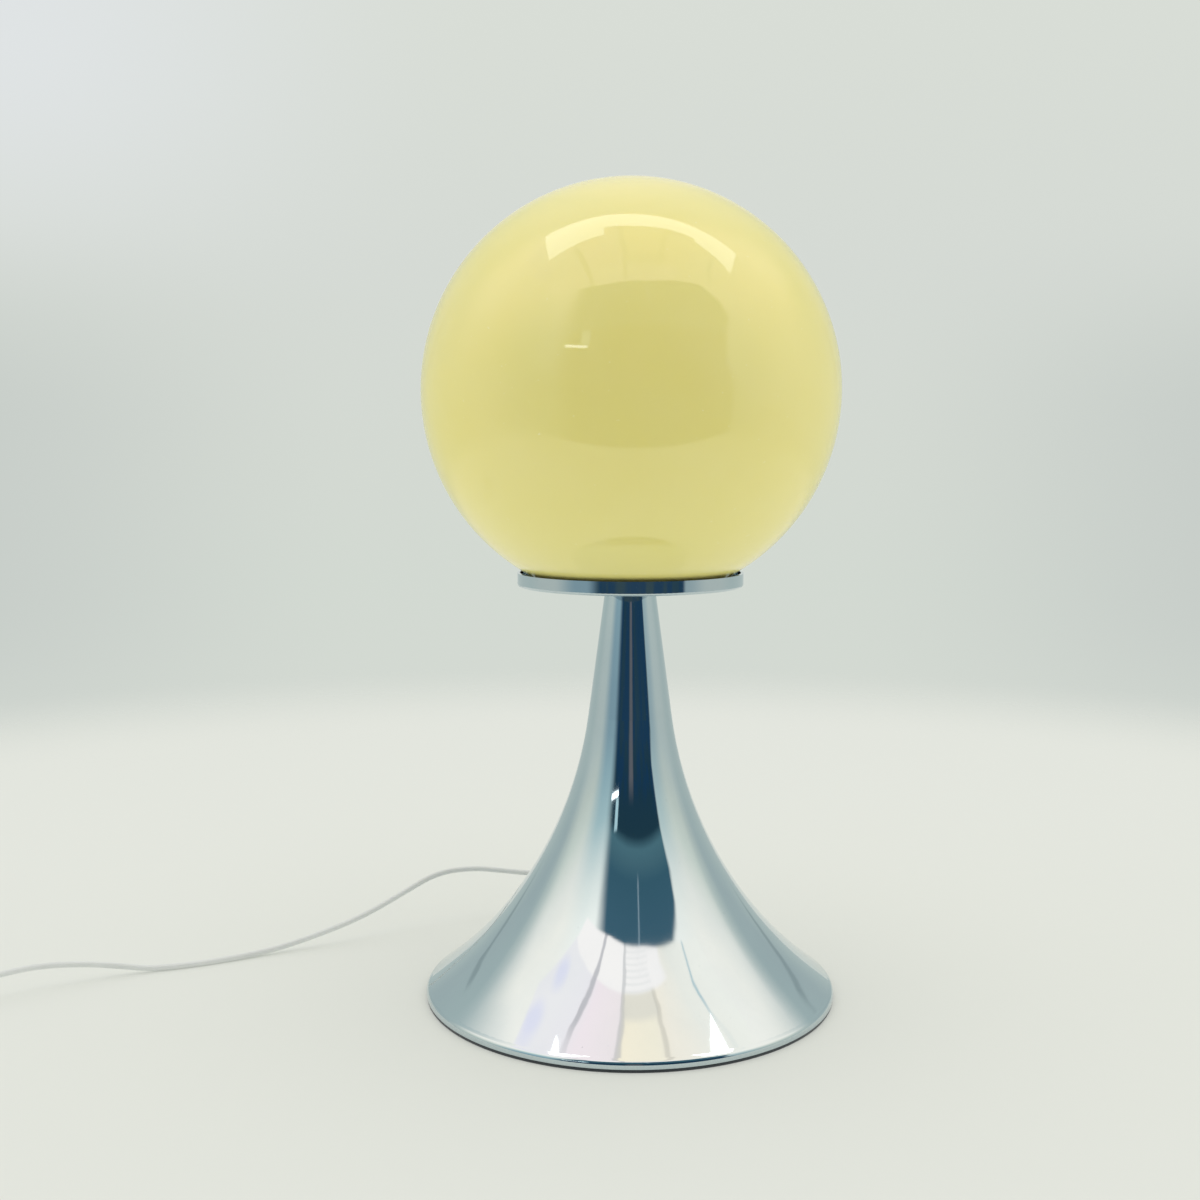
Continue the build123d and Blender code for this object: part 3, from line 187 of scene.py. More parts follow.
def turned_piece(name, profile, closed):
    """A mesh turned about the lamp's axis from a profile of (r, z) in mm."""
    mesh = bmesh.new()
    rings = []
    for r, z in profile:
        if r == 0:
            rings.append([mesh.verts.new((0, 0, z * MM))] * TURN_STEPS)
            continue
        angles = [2 * pi * index / TURN_STEPS for index in range(TURN_STEPS)]
        rings.append([mesh.verts.new((r * MM * cos(a), r * MM * sin(a), z * MM)) for a in angles])
    for lower, upper in zip(rings, rings[1:] + (rings[:1] if closed else [])):
        for index in range(TURN_STEPS):
            after = (index + 1) % TURN_STEPS
            corners = [lower[index], lower[after], upper[after], upper[index]]
            mesh.faces.new(list(dict.fromkeys(corners)))
    bmesh.ops.recalc_face_normals(mesh, faces=mesh.faces)
    data = bpy.data.meshes.new(name)
    mesh.to_mesh(data)
    mesh.free()
    data.shade_smooth()
    data.set_sharp_from_angle(angle=radians(40))
    piece = bpy.data.objects.new(name, data)
    scene.collection.objects.link(piece)
    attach(piece, "lamp")
    return piece


SEAT_GAP = 0.05
# The felt is real, but it sticks out past the rim so that its dark edge stands in for the shadowed gap
# under the rim: painted shade.
FELT_SHADE_PROUD, FELT_SWELL, FELT_ROUND = 0.7, 0.35, 0.3
foot_radius = (Vector(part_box("trumpet_shell")[1]) / MM).x
felt_top = (Vector(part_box("felt_pad")[1]) / MM).z
felt_edge = foot_radius + FELT_SHADE_PROUD
felt_crest = felt_top + FELT_SWELL
felt_and_shade_foot = turned_piece("felt_and_shade_foot", (
    [(0, 0)]
    + arc((felt_edge - FELT_ROUND, FELT_ROUND), FELT_ROUND, -90, 0, 4)
    + arc((felt_edge - FELT_ROUND, felt_crest - FELT_ROUND), FELT_ROUND, 0, 90, 4)
    + [(foot_radius + SEAT_GAP, felt_crest), (foot_radius + SEAT_GAP, felt_top), (0, felt_top)]
), closed=False)
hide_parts("felt_pad")

# The roll is tangent to the flare, whose surface rises at this angle where it meets the rim.
RIM_SLOPE = 36.4
RIM_TOP = 5.0
ROLL_PROUD, ROLL_RADIUS, ROLL_OVER, ROLL_FOOT = 1.0, 2.8, 0.06, 0.4
ROLL_SET_IN, ROLL_SET_DOWN = 0.6, 0.3
TAIL_LENGTH, TAIL_LIFT, TAIL_WALL = 1.6, 0.015, 0.4
slope = radians(RIM_SLOPE)
roll_out = foot_radius + ROLL_PROUD
roll_inside = foot_radius - ROLL_SET_IN
roll_bottom = felt_crest + SEAT_GAP
roll_centre_r = roll_out - ROLL_RADIUS
roll_centre_z = RIM_TOP + (
    ROLL_OVER - ROLL_RADIUS + (foot_radius - roll_centre_r) * sin(slope)
) / cos(slope)
tail_r = foot_radius - TAIL_LENGTH * cos(slope)
tail_z = RIM_TOP + TAIL_LENGTH * sin(slope) + TAIL_LIFT
rim_roll = turned_piece("rim_roll", (
    arc((roll_out - ROLL_FOOT, roll_bottom + ROLL_FOOT), ROLL_FOOT, -90, 0, 5)
    + arc((roll_centre_r, roll_centre_z), ROLL_RADIUS, 0, 90 - RIM_SLOPE, 14)
    + [(tail_r, tail_z), (tail_r, tail_z - TAIL_WALL), (roll_inside, RIM_TOP - ROLL_SET_DOWN),
       (roll_inside, roll_bottom)]
), closed=True)


# ---------------------------------------------------------------------------
# Node helpers
# ---------------------------------------------------------------------------
class Tree:
    """Short names for building a node tree."""

    def __init__(self, tree):
        self.tree = tree
        tree.nodes.clear()

    def put(self, socket, value):
        if isinstance(value, bpy.types.NodeSocket):
            self.tree.links.new(value, socket)
        elif value is not None:
            if hasattr(socket.default_value, "__len__"):
                value = tuple(value)
                if len(socket.default_value) == 4 and len(value) == 3:
                    value += (1.0,)
            socket.default_value = value

    def node(self, kind, inputs=(), **settings):
        made = self.tree.nodes.new(kind)
        for name, value in settings.items():
            setattr(made, name, value)
        for key, value in dict(inputs).items():
            self.put(made.inputs[key], value)
        return made

    def math(self, operation, a, b=None, c=None, clamp=False):
        made = self.tree.nodes.new("ShaderNodeMath")
        made.operation = operation
        made.use_clamp = clamp
        for socket, value in zip(made.inputs, (a, b, c)):
            self.put(socket, value)
        return made.outputs[0]

    def vector(self, operation, a, b=None, scale=None):
        made = self.tree.nodes.new("ShaderNodeVectorMath")
        made.operation = operation
        self.put(made.inputs[0], a)
        if b is not None:
            self.put(made.inputs[1], b)
        if scale is not None:
            self.put(made.inputs["Scale"], scale)
        return made.outputs["Value" if operation in ("LENGTH", "DOT_PRODUCT") else "Vector"]

    def times(self, first, *others):
        """The product of these values."""
        for other in others:
            first = self.math("MULTIPLY", first, other)
        return first

    def combine(self, x, y, z):
        return self.node("ShaderNodeCombineXYZ", {0: x, 1: y, 2: z}).outputs[0]

    def step(self, value, low, high, out_low=0.0, out_high=1.0):
        """Smooth step from out_low to out_high as value goes from low to high."""
        if low > high:
            low, high, out_low, out_high = high, low, out_high, out_low
        made = self.node("ShaderNodeMapRange", interpolation_type="SMOOTHSTEP", clamp=True)
        for socket, number in zip(made.inputs, (value, low, high, out_low, out_high)):
            self.put(socket, number)
        return made.outputs[0]

    def near(self, value, centre, outer, inner):
        """1 where value is within inner of centre, falling to 0 at outer."""
        return self.step(self.math("ABSOLUTE", self.math("SUBTRACT", value, centre)), outer, inner)

    def ramp(self, value, stops):
        """Colours at their places from 0 to 1, blended in between."""
        made = self.node("ShaderNodeValToRGB", {0: value})
        ramp = made.color_ramp
        while len(ramp.elements) < len(stops):
            ramp.elements.new(0.5)
        for element, (place, colour) in zip(ramp.elements, stops):
            element.position = place
            element.color = (*colour, 1.0)
        return made.outputs[0]

    def mix(self, factor, a, b):
        """Colour a where factor is 0, and b where it is 1."""
        made = self.node("ShaderNodeMix", data_type="RGBA")
        self.put(made.inputs[0], factor)
        self.put(made.inputs[6], a)
        self.put(made.inputs[7], b)
        return made.outputs[2]

    def noise(self, vector, scale, detail=4.0, rough=0.5, distort=0.0):
        return self.node(
            "ShaderNodeTexNoise",
            {"Vector": vector, "Scale": scale, "Detail": detail, "Roughness": rough,
             "Distortion": distort},
        ).outputs["Fac"]


# ---------------------------------------------------------------------------
# Studio: reflections show a bright tent with a dark card, and matt surfaces get a plain soft light
# ---------------------------------------------------------------------------
world = bpy.data.worlds.new("studio")
scene.world = world
world.use_nodes = True
t = Tree(world.node_tree)
direction = t.node("ShaderNodeTexCoord").outputs["Generated"]
xyz = t.node("ShaderNodeSeparateXYZ", {0: direction})
dx, dy, dz = xyz.outputs
elevation = t.math("MULTIPLY", t.math("ARCSINE", dz), 180 / pi)
azimuth = t.math("MULTIPLY", t.math("ARCTAN2", dx, t.math("MULTIPLY", dy, -1.0)), 180 / pi)
turn = t.math("ABSOLUTE", azimuth)
height = t.math("DIVIDE", t.math("ADD", elevation, 10.0), 100.0, clamp=True)


def at(degrees_up):
    """The place on a wall's ramp of a height in degrees above the horizon."""
    return (degrees_up + 10) / 100


# Walls of the tent, by how far they are from the camera's side.
near_wall = t.ramp(height, [
    (at(-10), (0.30, 0.40, 0.44)), (at(4), (0.30, 0.43, 0.49)), (at(14), (0.42, 0.58, 0.62)),
    (at(24), (0.56, 0.72, 0.73)), (at(37), (1.10, 1.10, 1.02)), (at(48), (1.42, 1.33, 1.22)),
])
side_wall = t.ramp(height, [
    (at(-10), (0.60, 0.62, 0.58)), (at(4), (0.64, 0.69, 0.65)), (at(13), (0.77, 0.79, 0.70)),
    (at(20), (0.90, 0.91, 0.80)), (at(31), (1.22, 1.13, 1.02)), (at(40), (1.40, 1.26, 1.12)),
    (at(48), (1.42, 1.28, 1.15)),
])
far_wall = t.ramp(height, [
    (at(-10), (0.55, 0.61, 0.58)), (at(2), (0.55, 0.62, 0.59)), (at(12), (0.50, 0.57, 0.56)),
    (at(30), (0.53, 0.61, 0.59)),
    (at(60), (0.80, 0.84, 0.82)), (at(90), (1.00, 1.00, 0.98)),
])
back_wall = t.ramp(height, [
    (at(-10), (0.66, 0.70, 0.66)), (at(8), (0.72, 0.75, 0.71)), (at(30), (0.74, 0.77, 0.74)),
    (at(60), (0.90, 0.90, 0.88)), (at(90), (1.00, 1.00, 0.98)),
])
right_hand = t.step(azimuth, -20, 40)
walls = t.mix(t.math("MULTIPLY", right_hand, 0.35), near_wall, side_wall)
walls = t.mix(t.step(turn, 56, 84), walls, side_wall)
shift = t.math(
    "MULTIPLY", t.step(elevation, 20, 38), t.math("MULTIPLY_ADD", azimuth, 0.03, 10.0),
)
walls = t.mix(t.step(t.math("SUBTRACT", turn, shift), 95, 124), walls, far_wall)
walls = t.mix(t.step(turn, 158, 175), walls, back_wall)

# A thin dark line leans across the far wall on each side.
contour = t.math("MULTIPLY_ADD", elevation, 0.575, turn)
contour = t.times(t.near(contour, 146.5, 1.3, 0.4), t.near(elevation, 13.0, 13.0, 7.0), 0.4)
walls = t.mix(contour, walls, (0.18, 0.24, 0.25))

# The dark card on the camera's side: navy below, teal above, with a pale streak, seam and glint.
bowl = t.math("MULTIPLY", t.math("SUBTRACT", azimuth, 6.0), 1 / 38)
bowl = t.math("MULTIPLY_ADD", t.math("MULTIPLY", bowl, bowl), 5.0, elevation)
dark = t.ramp(t.math("DIVIDE", t.math("ADD", bowl, 10.0), 100.0, clamp=True), [
    (at(-10), (0.080, 0.110, 0.110)), (at(0), (0.030, 0.070, 0.100)),
    (at(20), (0.016, 0.052, 0.085)), (at(31.5), (0.018, 0.054, 0.080)),
    (at(34.5), (0.100, 0.215, 0.260)), (at(38), (0.085, 0.185, 0.230)),
    (at(42), (0.055, 0.142, 0.195)), (at(53), (0.066, 0.155, 0.215)),
])
low_part = t.step(elevation, 25, 17)
drift = t.noise(t.combine(azimuth, elevation, 0.0), 0.11, 2.0)
blue = t.times(t.step(drift, 0.42, 0.58), low_part, 0.6)
dark = t.mix(blue, dark, (0.010, 0.052, 0.130))
streak = t.times(t.near(azimuth, 1.5, 6.0, 2.6), low_part, t.step(elevation, -1, 6), 0.8)
dark = t.mix(streak, dark, (0.19, 0.175, 0.185))
seam = t.times(t.near(azimuth, 10.5, 1.3, 0.4), t.step(elevation, 39, 43), 0.6)
dark = t.mix(seam, dark, (0.5, 0.6, 0.66))
glint = t.times(t.near(azimuth, -26.0, 3.4, 1.8), t.near(elevation, 25.5, 4.2, 3.2))
dark = t.mix(glint, dark, (0.62, 0.85, 0.90))

# The card's right edge leans with height, and a short bright line lies near its left one.
lamp_line = t.times(t.near(azimuth, -31.0, 7.5, 5.5), t.near(elevation, 20.7, 0.9, 0.4))
right_edge = t.ramp(height, [
    (at(-10), (0.54,) * 3), (at(5), (0.54,) * 3), (at(12), (0.50,) * 3), (at(25), (0.53,) * 3),
    (at(33), (0.585,) * 3), (at(40), (0.58,) * 3), (at(47), (0.535,) * 3), (at(53), (0.49,) * 3),
])
past_edge = t.math("SUBTRACT", azimuth, t.math("MULTIPLY", right_edge, 100.0))
card = t.math("MULTIPLY", t.step(azimuth, -46, -30), t.step(past_edge, 2.5, -2.5))
tent = t.mix(card, walls, dark)
tent = t.mix(lamp_line, tent, (4.2, 4.4, 4.4))

# The tent's roof, a flat panel overhead: u and v are where a ray from the lamp meets it, at height 1.
up = t.math("MAXIMUM", dz, 0.02)
u = t.math("DIVIDE", dx, up)
v = t.math("DIVIDE", dy, up)


def inside(p, q, soft):
    """1 on the left of the roof's edge from p to q, and 0 on its right, with a soft change."""
    (px, py), (qx, qy) = p, q
    length = sqrt((qx - px) ** 2 + (qy - py) ** 2)
    along_u = t.math("MULTIPLY", u, (py - qy) / length)
    along_v = t.math("MULTIPLY", v, (qx - px) / length)
    offset = ((qy - py) * px - (qx - px) * py) / length
    return t.step(t.math("ADD", t.math("ADD", along_u, along_v), offset), -soft, soft)


def panel(corners, soft):
    """A convex panel of the roof, with its corners counterclockwise."""
    result = None
    for p, q in zip(corners, corners[1:] + corners[:1]):
        part = inside(p, q, soft)
        result = part if result is None else t.math("MULTIPLY", result, part)
    return result


def patch(centre, size, soft):
    """A soft round patch of the roof."""
    away = t.vector("SUBTRACT", t.combine(u, v, 0.0), (*centre, 0.0))
    return t.step(t.vector("LENGTH", away), size + soft, size - soft)


ROOF_EDGE = 0.014
ROOF = [
    (-0.80, -0.60), (-0.32, -0.675), (0.19, -0.65), (0.64, -0.53), (1.05, -0.28),
    (0.80, 0.22), (0.00, 0.24), (-0.53, 0.28), (-0.90, 0.0),
]

# Its cloth hangs in gores with grey seams, some cream, some pink.
wobble = t.math("SUBTRACT", t.noise(t.combine(u, v, 0.0), 5.0, 2.0), 0.5)
wobble = t.math("MULTIPLY", wobble, 0.09)
across = t.math("ADD", u, wobble)
cloth = t.ramp(t.math("DIVIDE", t.math("ADD", across, 1.0), 2.0), [
    (0.20, (1.37, 1.22, 1.19)), (0.29, (1.36, 1.20, 1.19)), (0.34, (1.44, 1.17, 1.17)),
    (0.455, (1.41, 1.17, 1.13)), (0.475, (1.53, 1.27, 0.98)), (0.58, (1.50, 1.27, 1.00)),
    (0.63, (1.46, 1.24, 1.04)), (0.75, (1.36, 1.23, 1.09)), (0.90, (1.42, 1.29, 1.15)),
])
middle_gore = t.times(t.step(across, -0.07, -0.05), t.step(across, 0.22, 0.20))
shaded = t.times(middle_gore, t.step(v, -0.26, -0.31), 0.85)
cloth = t.mix(shaded, cloth, (1.22, 1.06, 0.90))
upper = t.times(t.step(v, -0.405, -0.425), t.step(across, 0.42, 0.34))
cloth = t.mix(upper, cloth, (1.52, 1.33, 1.25))
ribs = t.math("SINE", t.math("MULTIPLY", v, 190.0))
ribs = t.times(upper, middle_gore, t.step(ribs, 0.1, 0.9), 0.35)
cloth = t.mix(ribs, cloth, (1.00, 0.95, 0.90))
right_line = t.math("MAXIMUM", t.math("SUBTRACT", -0.27, v), 0.0)
right_line = t.math("SUBTRACT", t.math("SUBTRACT", u, 0.63), t.math("MULTIPLY", right_line, 0.65))

# Each seam: how far a point is from its line, its width, its strength and its colour.
seams = (
    (t.math("ADD", across, 0.07), 0.026, t.step(v, 0.1, 0.0, 0.0, 0.52), (0.66, 0.62, 0.62)),
    (t.math("SUBTRACT", across, 0.215), 0.026, t.step(v, -0.43, -0.40, 0.0, 0.46),
     (0.74, 0.64, 0.55)),
    (t.math("ADD", across, 0.38), 0.028, t.step(v, 0.0, -0.2, 0.15, 0.85), (0.78, 0.70, 0.71)),
    (right_line, 0.022, t.step(v, 0.0, -0.2, 0.1, 0.75), (0.55, 0.74, 0.80)),
)
for offset, width, strength, tone in seams:
    line = t.step(t.math("ABSOLUTE", offset), width, width * 0.45)
    cloth = t.mix(t.math("MULTIPLY", line, strength), cloth, tone)

# Two faint lilac patches lie at its left end.
for centre, size in (((-0.75, -0.22), 0.075), ((-0.69, 0.05), 0.085)):
    cloth = t.mix(t.math("MULTIPLY", patch(centre, size, 0.05), 0.6), cloth, (1.10, 1.02, 1.26))
tent = t.mix(panel(ROOF, ROOF_EDGE), tent, cloth)

# What the camera sees behind the lamp: a pale sweep, lighter in the middle and above.
backdrop = t.ramp(t.math("DIVIDE", t.math("ADD", elevation, 20.0), 60.0, clamp=True), [
    (0.0, (0.68, 0.72, 0.665)), (0.17, (0.655, 0.695, 0.645)), (0.25, (0.648, 0.695, 0.642)),
    (0.33, (0.655, 0.695, 0.645)), (0.45, (0.665, 0.70, 0.66)), (0.60, (0.690, 0.725, 0.675)),
    (1.0, (0.72, 0.74, 0.73)),
])
left_hand = t.times(t.step(azimuth, 0, -1), t.step(turn, 176, 156), t.step(elevation, 4, 15))
backdrop = t.mix(left_hand, backdrop, (0.745, 0.775, 0.785))
aside = t.step(t.math("ABSOLUTE", t.math("SUBTRACT", 180.0, turn)), 9, 26)
band = t.math("MULTIPLY", t.step(elevation, -14, -5), t.step(elevation, 9, 1))
backdrop = t.mix(t.math("MULTIPLY", aside, band), backdrop, (0.575, 0.615, 0.585))

# Everything matt is lit by a plain soft light, weaker from the camera's side, stronger from above.
matt_light = t.ramp(t.math("DIVIDE", t.math("SUBTRACT", 1.0, dy), 2.0), [
    (0.0, (1.10, 1.10, 1.08)), (0.5, (1.10, 1.10, 1.08)), (0.75, (0.88, 0.88, 0.87)),
    (1.0, (0.35, 0.355, 0.36)),
])
from_above = t.math("MULTIPLY_ADD", t.math("MAXIMUM", dz, 0.0), 0.14, 1.0)
matt_light = t.vector("SCALE", matt_light, scale=from_above)
rays = t.node("ShaderNodeLightPath")
seen = t.math("MAXIMUM", rays.outputs["Is Camera Ray"], rays.outputs["Is Transmission Ray"])
colour = t.mix(seen, t.mix(rays.outputs["Is Glossy Ray"], matt_light, tent), backdrop)
shade = t.node("ShaderNodeBackground", {"Color": colour, "Strength": 1.0})
t.node("ShaderNodeOutputWorld", {"Surface": shade.outputs[0]})

# A broad soft lamp over the lamp gives the floor its faint shadow.
OVERHEAD_SIZE, OVERHEAD_POWER = 1.1, 2.0
OVERHEAD_PLACE = (0.15, -0.25, 1.5)
key_data = bpy.data.lights.new("overhead", "AREA")
key_data.shape = "DISK"
key_data.size = OVERHEAD_SIZE
key_data.energy = OVERHEAD_POWER
key = bpy.data.objects.new("overhead", key_data)
key.location = OVERHEAD_PLACE
key.rotation_euler = (radians(10), radians(6), 0)
key.visible_glossy = False
scene.collection.objects.link(key)

# A bright window in the tent's roof, which only reflections show.
WINDOW_HEIGHT, WINDOW_STRENGTH = 1.2, 2.9
WINDOW = [
    (-0.57, -0.160), (-0.16, -0.110), (-0.15, -0.025), (0.37, -0.040), (0.39, -0.075),
    (0.77, -0.185), (0.70, 0.095), (0.00, 0.110), (-0.49, 0.150),
]
window_mesh = bpy.data.meshes.new("window")
window_mesh.from_pydata(
    [(x, y, WINDOW_HEIGHT) for x, y in WINDOW], [], [tuple(range(len(WINDOW)))],
)
window = bpy.data.objects.new("window", window_mesh)
window.visible_camera = False
window.visible_diffuse = False
window.visible_transmission = False
window.visible_shadow = False
scene.collection.objects.link(window)
window_material = bpy.data.materials.new("window")
window_material.use_nodes = True
t = Tree(window_material.node_tree)
light = t.node("ShaderNodeEmission", {"Color": (1.0, 0.98, 0.93), "Strength": WINDOW_STRENGTH})
t.node("ShaderNodeOutputMaterial", {"Surface": light.outputs[0]})
window_mesh.materials.append(window_material)

# Floor: it fades into the sweep away from the lamp, and in reflections also towards the camera.
FLOOR_REACH = 4.0
FADE_START, FADE_END = 0.70, 1.10
FRONT_START, FRONT_END = -0.53, -0.585
FLOOR_GLOW, EXTRA_BOUNCE = 0.3, 0.9
floor_corners = [(x * FLOOR_REACH, y * FLOOR_REACH, 0) for x, y in ((-1, -1), (1, -1), (1, 1), (-1, 1))]
floor_mesh = bpy.data.meshes.new("floor")
floor_mesh.from_pydata(floor_corners, [], [(0, 1, 2, 3)])
floor = bpy.data.objects.new("floor", floor_mesh)
scene.collection.objects.link(floor)
floor_material = bpy.data.materials.new("floor")
floor_material.use_nodes = True
t = Tree(floor_material.node_tree)
ground = t.node("ShaderNodeTexCoord").outputs["Object"]
floor_colour = t.mix(t.noise(ground, 1.2, 2.0), (0.700, 0.718, 0.672), (0.716, 0.734, 0.690))
paper = t.node("ShaderNodeBsdfDiffuse", {"Color": floor_colour})
clear = t.node("ShaderNodeBsdfTransparent")
rays = t.node("ShaderNodeLightPath")
# The floor glows faintly in its own colour, which is painted light that weakens the lamp's shadow on
# it. It glows brighter to diffuse rays, which is painted bounce light on the lamp's undersides.
bounce = t.math("MULTIPLY_ADD", rays.outputs["Is Diffuse Ray"], EXTRA_BOUNCE, 1.0)
glow = t.node("ShaderNodeEmission", {"Color": floor_colour, "Strength": bounce})
lit = t.node("ShaderNodeMixShader", {0: FLOOR_GLOW, 1: paper.outputs[0], 2: glow.outputs[0]})
far_away = t.step(t.vector("LENGTH", ground), FADE_START, FADE_END)
ahead = t.node("ShaderNodeSeparateXYZ", {0: ground}).outputs[1]
front_end = t.times(t.step(ahead, FRONT_START, FRONT_END), rays.outputs["Is Glossy Ray"])
gone = t.math("MAXIMUM", far_away, front_end)
fade = t.node("ShaderNodeMixShader", {0: gone, 1: lit.outputs[0], 2: clear.outputs[0]})
t.node("ShaderNodeOutputMaterial", {"Surface": fade.outputs[0]})
floor_mesh.materials.append(floor_material)

# ---------------------------------------------------------------------------
# Materials
# ---------------------------------------------------------------------------
materials = {}


def material(name):
    """A new material with its node tree, object coordinates and shader."""
    result = bpy.data.materials.new(name)
    result.use_nodes = True
    tree = Tree(result.node_tree)
    where = tree.node("ShaderNodeTexCoord").outputs["Object"]
    shader = tree.node("ShaderNodeBsdfPrincipled")
    tree.node("ShaderNodeOutputMaterial", {"Surface": shader.outputs[0]})
    materials[name] = result
    return tree, where, shader


def bump(tree, height, distance, strength=1.0, normal=None):
    """A normal from a height of this many metres."""
    inputs = {"Height": height, "Distance": distance, "Strength": strength}
    if normal is not None:
        inputs["Normal"] = normal
    return tree.node("ShaderNodeBump", inputs).outputs[0]


def turned(tree, where):
    """Distance from the lamp's axis and height, for marks left by a lathe."""
    x, y, z = tree.node("ShaderNodeSeparateXYZ", {0: where}).outputs
    squares = tree.math("ADD", tree.math("MULTIPLY", x, x), tree.math("MULTIPLY", y, y))
    return tree.math("SQRT", squares), z


# Opal glass, cased pale yellow over white: even, glossy, with faint clouds.
t, where, shader = material("opal_glass")
clouds = t.noise(where, 9.0, 3.0, 0.55, 0.4)
seeds = t.noise(where, 420.0, 2.0, 0.6)
tint = t.mix(t.step(clouds, 0.3, 0.7), (0.895, 0.785, 0.252), (0.915, 0.810, 0.302))
tint = t.mix(t.step(seeds, 0.70, 0.80), tint, (0.935, 0.845, 0.370))
t.put(shader.inputs["Base Color"], tint)
t.put(shader.inputs["Roughness"], t.step(clouds, 0.25, 0.75, 0.030, 0.055))
shader.inputs["IOR"].default_value = 1.70
shader.inputs["Subsurface Weight"].default_value = 0.18
shader.inputs["Subsurface Radius"].default_value = (0.012, 0.010, 0.005)
shader.inputs["Subsurface Scale"].default_value = 1.0
ripple = bump(t, t.noise(where, 14.0, 2.0, 0.45), 0.0016, 0.35)
t.put(shader.inputs["Normal"], ripple)

# Polished chrome on spun steel: faint rings from the lathe, thin haze, tiny pits.
RINGS_PER_METRE = 900.0
t, where, shader = material("chrome_shell")
from_axis, level = turned(t, where)
ring_place = t.combine(
    t.math("MULTIPLY", from_axis, RINGS_PER_METRE), t.math("MULTIPLY", level, RINGS_PER_METRE), 0.0,
)
rings = t.noise(ring_place, 1.0, 3.0, 0.6)
haze = t.noise(where, 22.0, 5.0, 0.6, 0.3)
pits = t.noise(where, 900.0, 2.0, 0.5)
tint = t.mix(t.step(haze, 0.35, 0.75), (0.590, 0.672, 0.706), (0.560, 0.645, 0.684))
t.put(shader.inputs["Base Color"], t.mix(t.step(pits, 0.74, 0.82), tint, (0.42, 0.50, 0.54)))
shader.inputs["Metallic"].default_value = 1.0
t.put(shader.inputs["Roughness"], t.step(haze, 0.3, 0.8, 0.030, 0.075))
waves = bump(t, t.noise(where, 16.0, 1.0, 0.4), 0.00022, 0.5)
t.put(shader.inputs["Normal"], bump(t, rings, 0.0000016, 0.6, waves))


def metal(name, colour, dark, rough, scale, streak=(1, 1, 1)):
    """A worn metal: base colour broken by noise stretched along streak."""
    t, where, shader = material(name)
    lines = t.noise(t.vector("MULTIPLY", where, streak), scale, 4.0, 0.6)
    spots = t.noise(where, 160.0, 4.0, 0.6)
    tint = t.mix(t.step(spots, 0.35, 0.75), colour, dark)
    t.put(shader.inputs["Base Color"], t.mix(t.math("MULTIPLY", lines, 0.35), tint, dark))
    shader.inputs["Metallic"].default_value = 1.0
    t.put(shader.inputs["Roughness"], t.step(lines, 0.25, 0.8, rough * 0.75, rough * 1.35))
    t.put(shader.inputs["Normal"], bump(t, lines, 0.00002, 0.6))


metal("zinc_steel", (0.60, 0.62, 0.62), (0.42, 0.44, 0.46), 0.30, 500.0)
metal("spring_steel", (0.55, 0.56, 0.58), (0.40, 0.41, 0.44), 0.20, 300.0, (1, 1, 8))
metal("brass", (0.72, 0.53, 0.24), (0.50, 0.35, 0.15), 0.24, 450.0)
metal("pin_brass", (0.72, 0.71, 0.69), (0.56, 0.56, 0.55), 0.16, 260.0, (8, 1, 8))
metal("cap_nickel", (0.66, 0.65, 0.63), (0.50, 0.49, 0.48), 0.24, 420.0)


def plastic(name, colour, dark, rough, grain, depth, coat=0.0):
    """A moulded or rubbery finish: fine grain, slight clouding, a little grime."""
    t, where, shader = material(name)
    cloud = t.noise(where, 35.0, 4.0, 0.6, 0.2)
    fine = t.noise(where, grain, 3.0, 0.6)
    tint = t.mix(t.step(cloud, 0.35, 0.7), colour, dark)
    t.put(shader.inputs["Base Color"], t.mix(t.step(fine, 0.62, 0.8), tint, dark))
    t.put(shader.inputs["Roughness"], t.step(cloud, 0.3, 0.75, rough * 0.85, rough * 1.2))
    shader.inputs["Coat Weight"].default_value = coat
    t.put(shader.inputs["Normal"], bump(t, fine, depth, 0.7))


plastic("cast_weight", (0.055, 0.058, 0.062), (0.035, 0.036, 0.040), 0.55, 380.0, 0.00030)
plastic("soft_rubber", (0.60, 0.60, 0.57), (0.52, 0.52, 0.50), 0.60, 900.0, 0.00004)
plastic("dark_plastic", (0.022, 0.022, 0.024), (0.014, 0.014, 0.016), 0.34, 1200.0, 0.00003)
plastic("ceramic", (0.78, 0.77, 0.72), (0.72, 0.71, 0.66), 0.16, 700.0, 0.00004, coat=0.5)
plastic("white_plastic", (0.70, 0.715, 0.69), (0.655, 0.67, 0.645), 0.32, 1500.0, 0.00002)
plastic("plug_white", (0.70, 0.715, 0.69), (0.65, 0.665, 0.64), 0.42, 1300.0, 0.00004)
plastic("cord_white", (0.69, 0.71, 0.695), (0.64, 0.66, 0.645), 0.40, 1600.0, 0.00002)
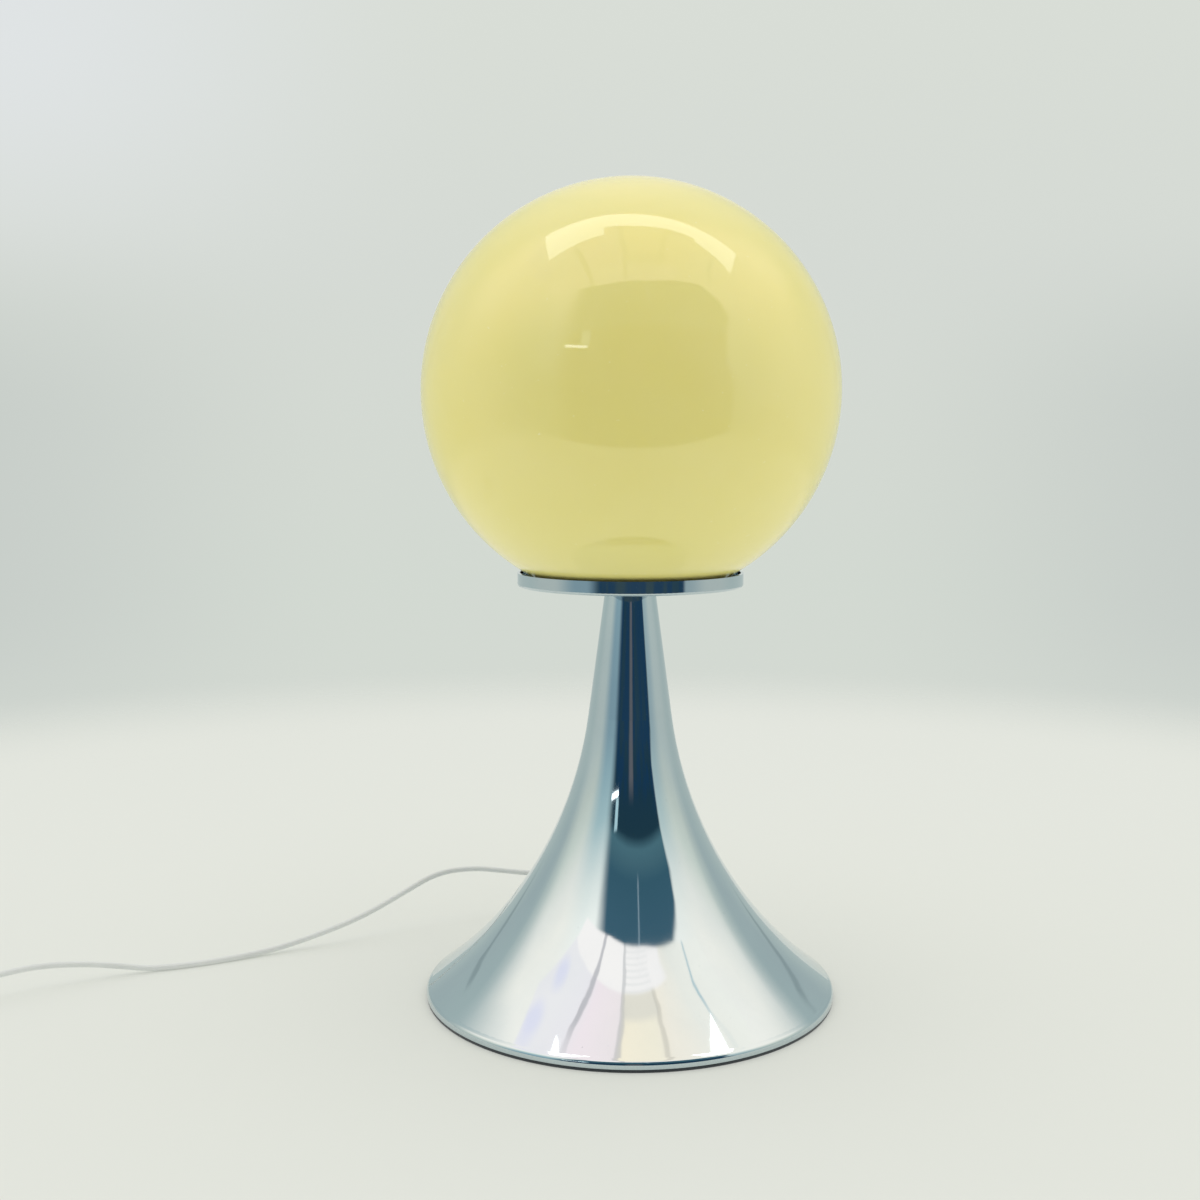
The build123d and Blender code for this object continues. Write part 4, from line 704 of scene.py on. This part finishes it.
plastic("core_insulation", (0.12, 0.20, 0.48), (0.09, 0.15, 0.38), 0.38, 1400.0, 0.00002)
plastic("tie_plastic", (0.66, 0.665, 0.64), (0.60, 0.605, 0.58), 0.38, 1200.0, 0.00003)
plastic("black_glass", (0.012, 0.012, 0.013), (0.020, 0.020, 0.022), 0.10, 800.0, 0.00001)
plastic("filament_yellow", (0.80, 0.50, 0.07), (0.70, 0.40, 0.05), 0.55, 1800.0, 0.00004)

# Felt: matted fibres with a faint nap.
t, where, shader = material("felt")
fibres = t.noise(where, 700.0, 6.0, 0.7, 1.2)
t.put(shader.inputs["Base Color"], t.mix(fibres, (0.014, 0.018, 0.021), (0.042, 0.052, 0.060)))
t.put(shader.inputs["Roughness"], t.step(fibres, 0.2, 0.8, 0.85, 1.0))
shader.inputs["Sheen Weight"].default_value = 0.35
t.put(shader.inputs["Normal"], bump(t, fibres, 0.0004, 0.8))


def glass(name, tint, ior, rough):
    """Clear blown glass with faint ripples."""
    t, where, shader = material(name)
    wave = t.noise(where, 60.0, 2.0, 0.5)
    t.put(shader.inputs["Base Color"], t.mix(wave, tint, (0.96, 0.97, 0.97)))
    t.put(shader.inputs["Roughness"], t.step(wave, 0.2, 0.8, rough, rough * 2.5))
    shader.inputs["Transmission Weight"].default_value = 1.0
    shader.inputs["IOR"].default_value = ior
    t.put(shader.inputs["Normal"], bump(t, wave, 0.0003, 0.3))


glass("bulb_glass", (0.98, 0.985, 0.98), 1.02, 0.01)
glass("stem_glass", (0.96, 0.97, 0.96), 1.30, 0.03)

SLOTS = {part["node"]: part["material_slot"] for part in frame["record"]["subparts"]}
for name, piece in nodes.items():
    piece.data.materials.clear()
    piece.data.materials.append(materials[SLOTS[name]])
for piece in (lead_cord, plug_cord):
    piece.data.materials.append(materials["cord_white"])
felt_and_shade_foot.data.materials.append(materials["felt"])
rim_roll.data.materials.append(materials["chrome_shell"])

# ---------------------------------------------------------------------------
# View
# ---------------------------------------------------------------------------
scene.view_settings.view_transform = "Standard"
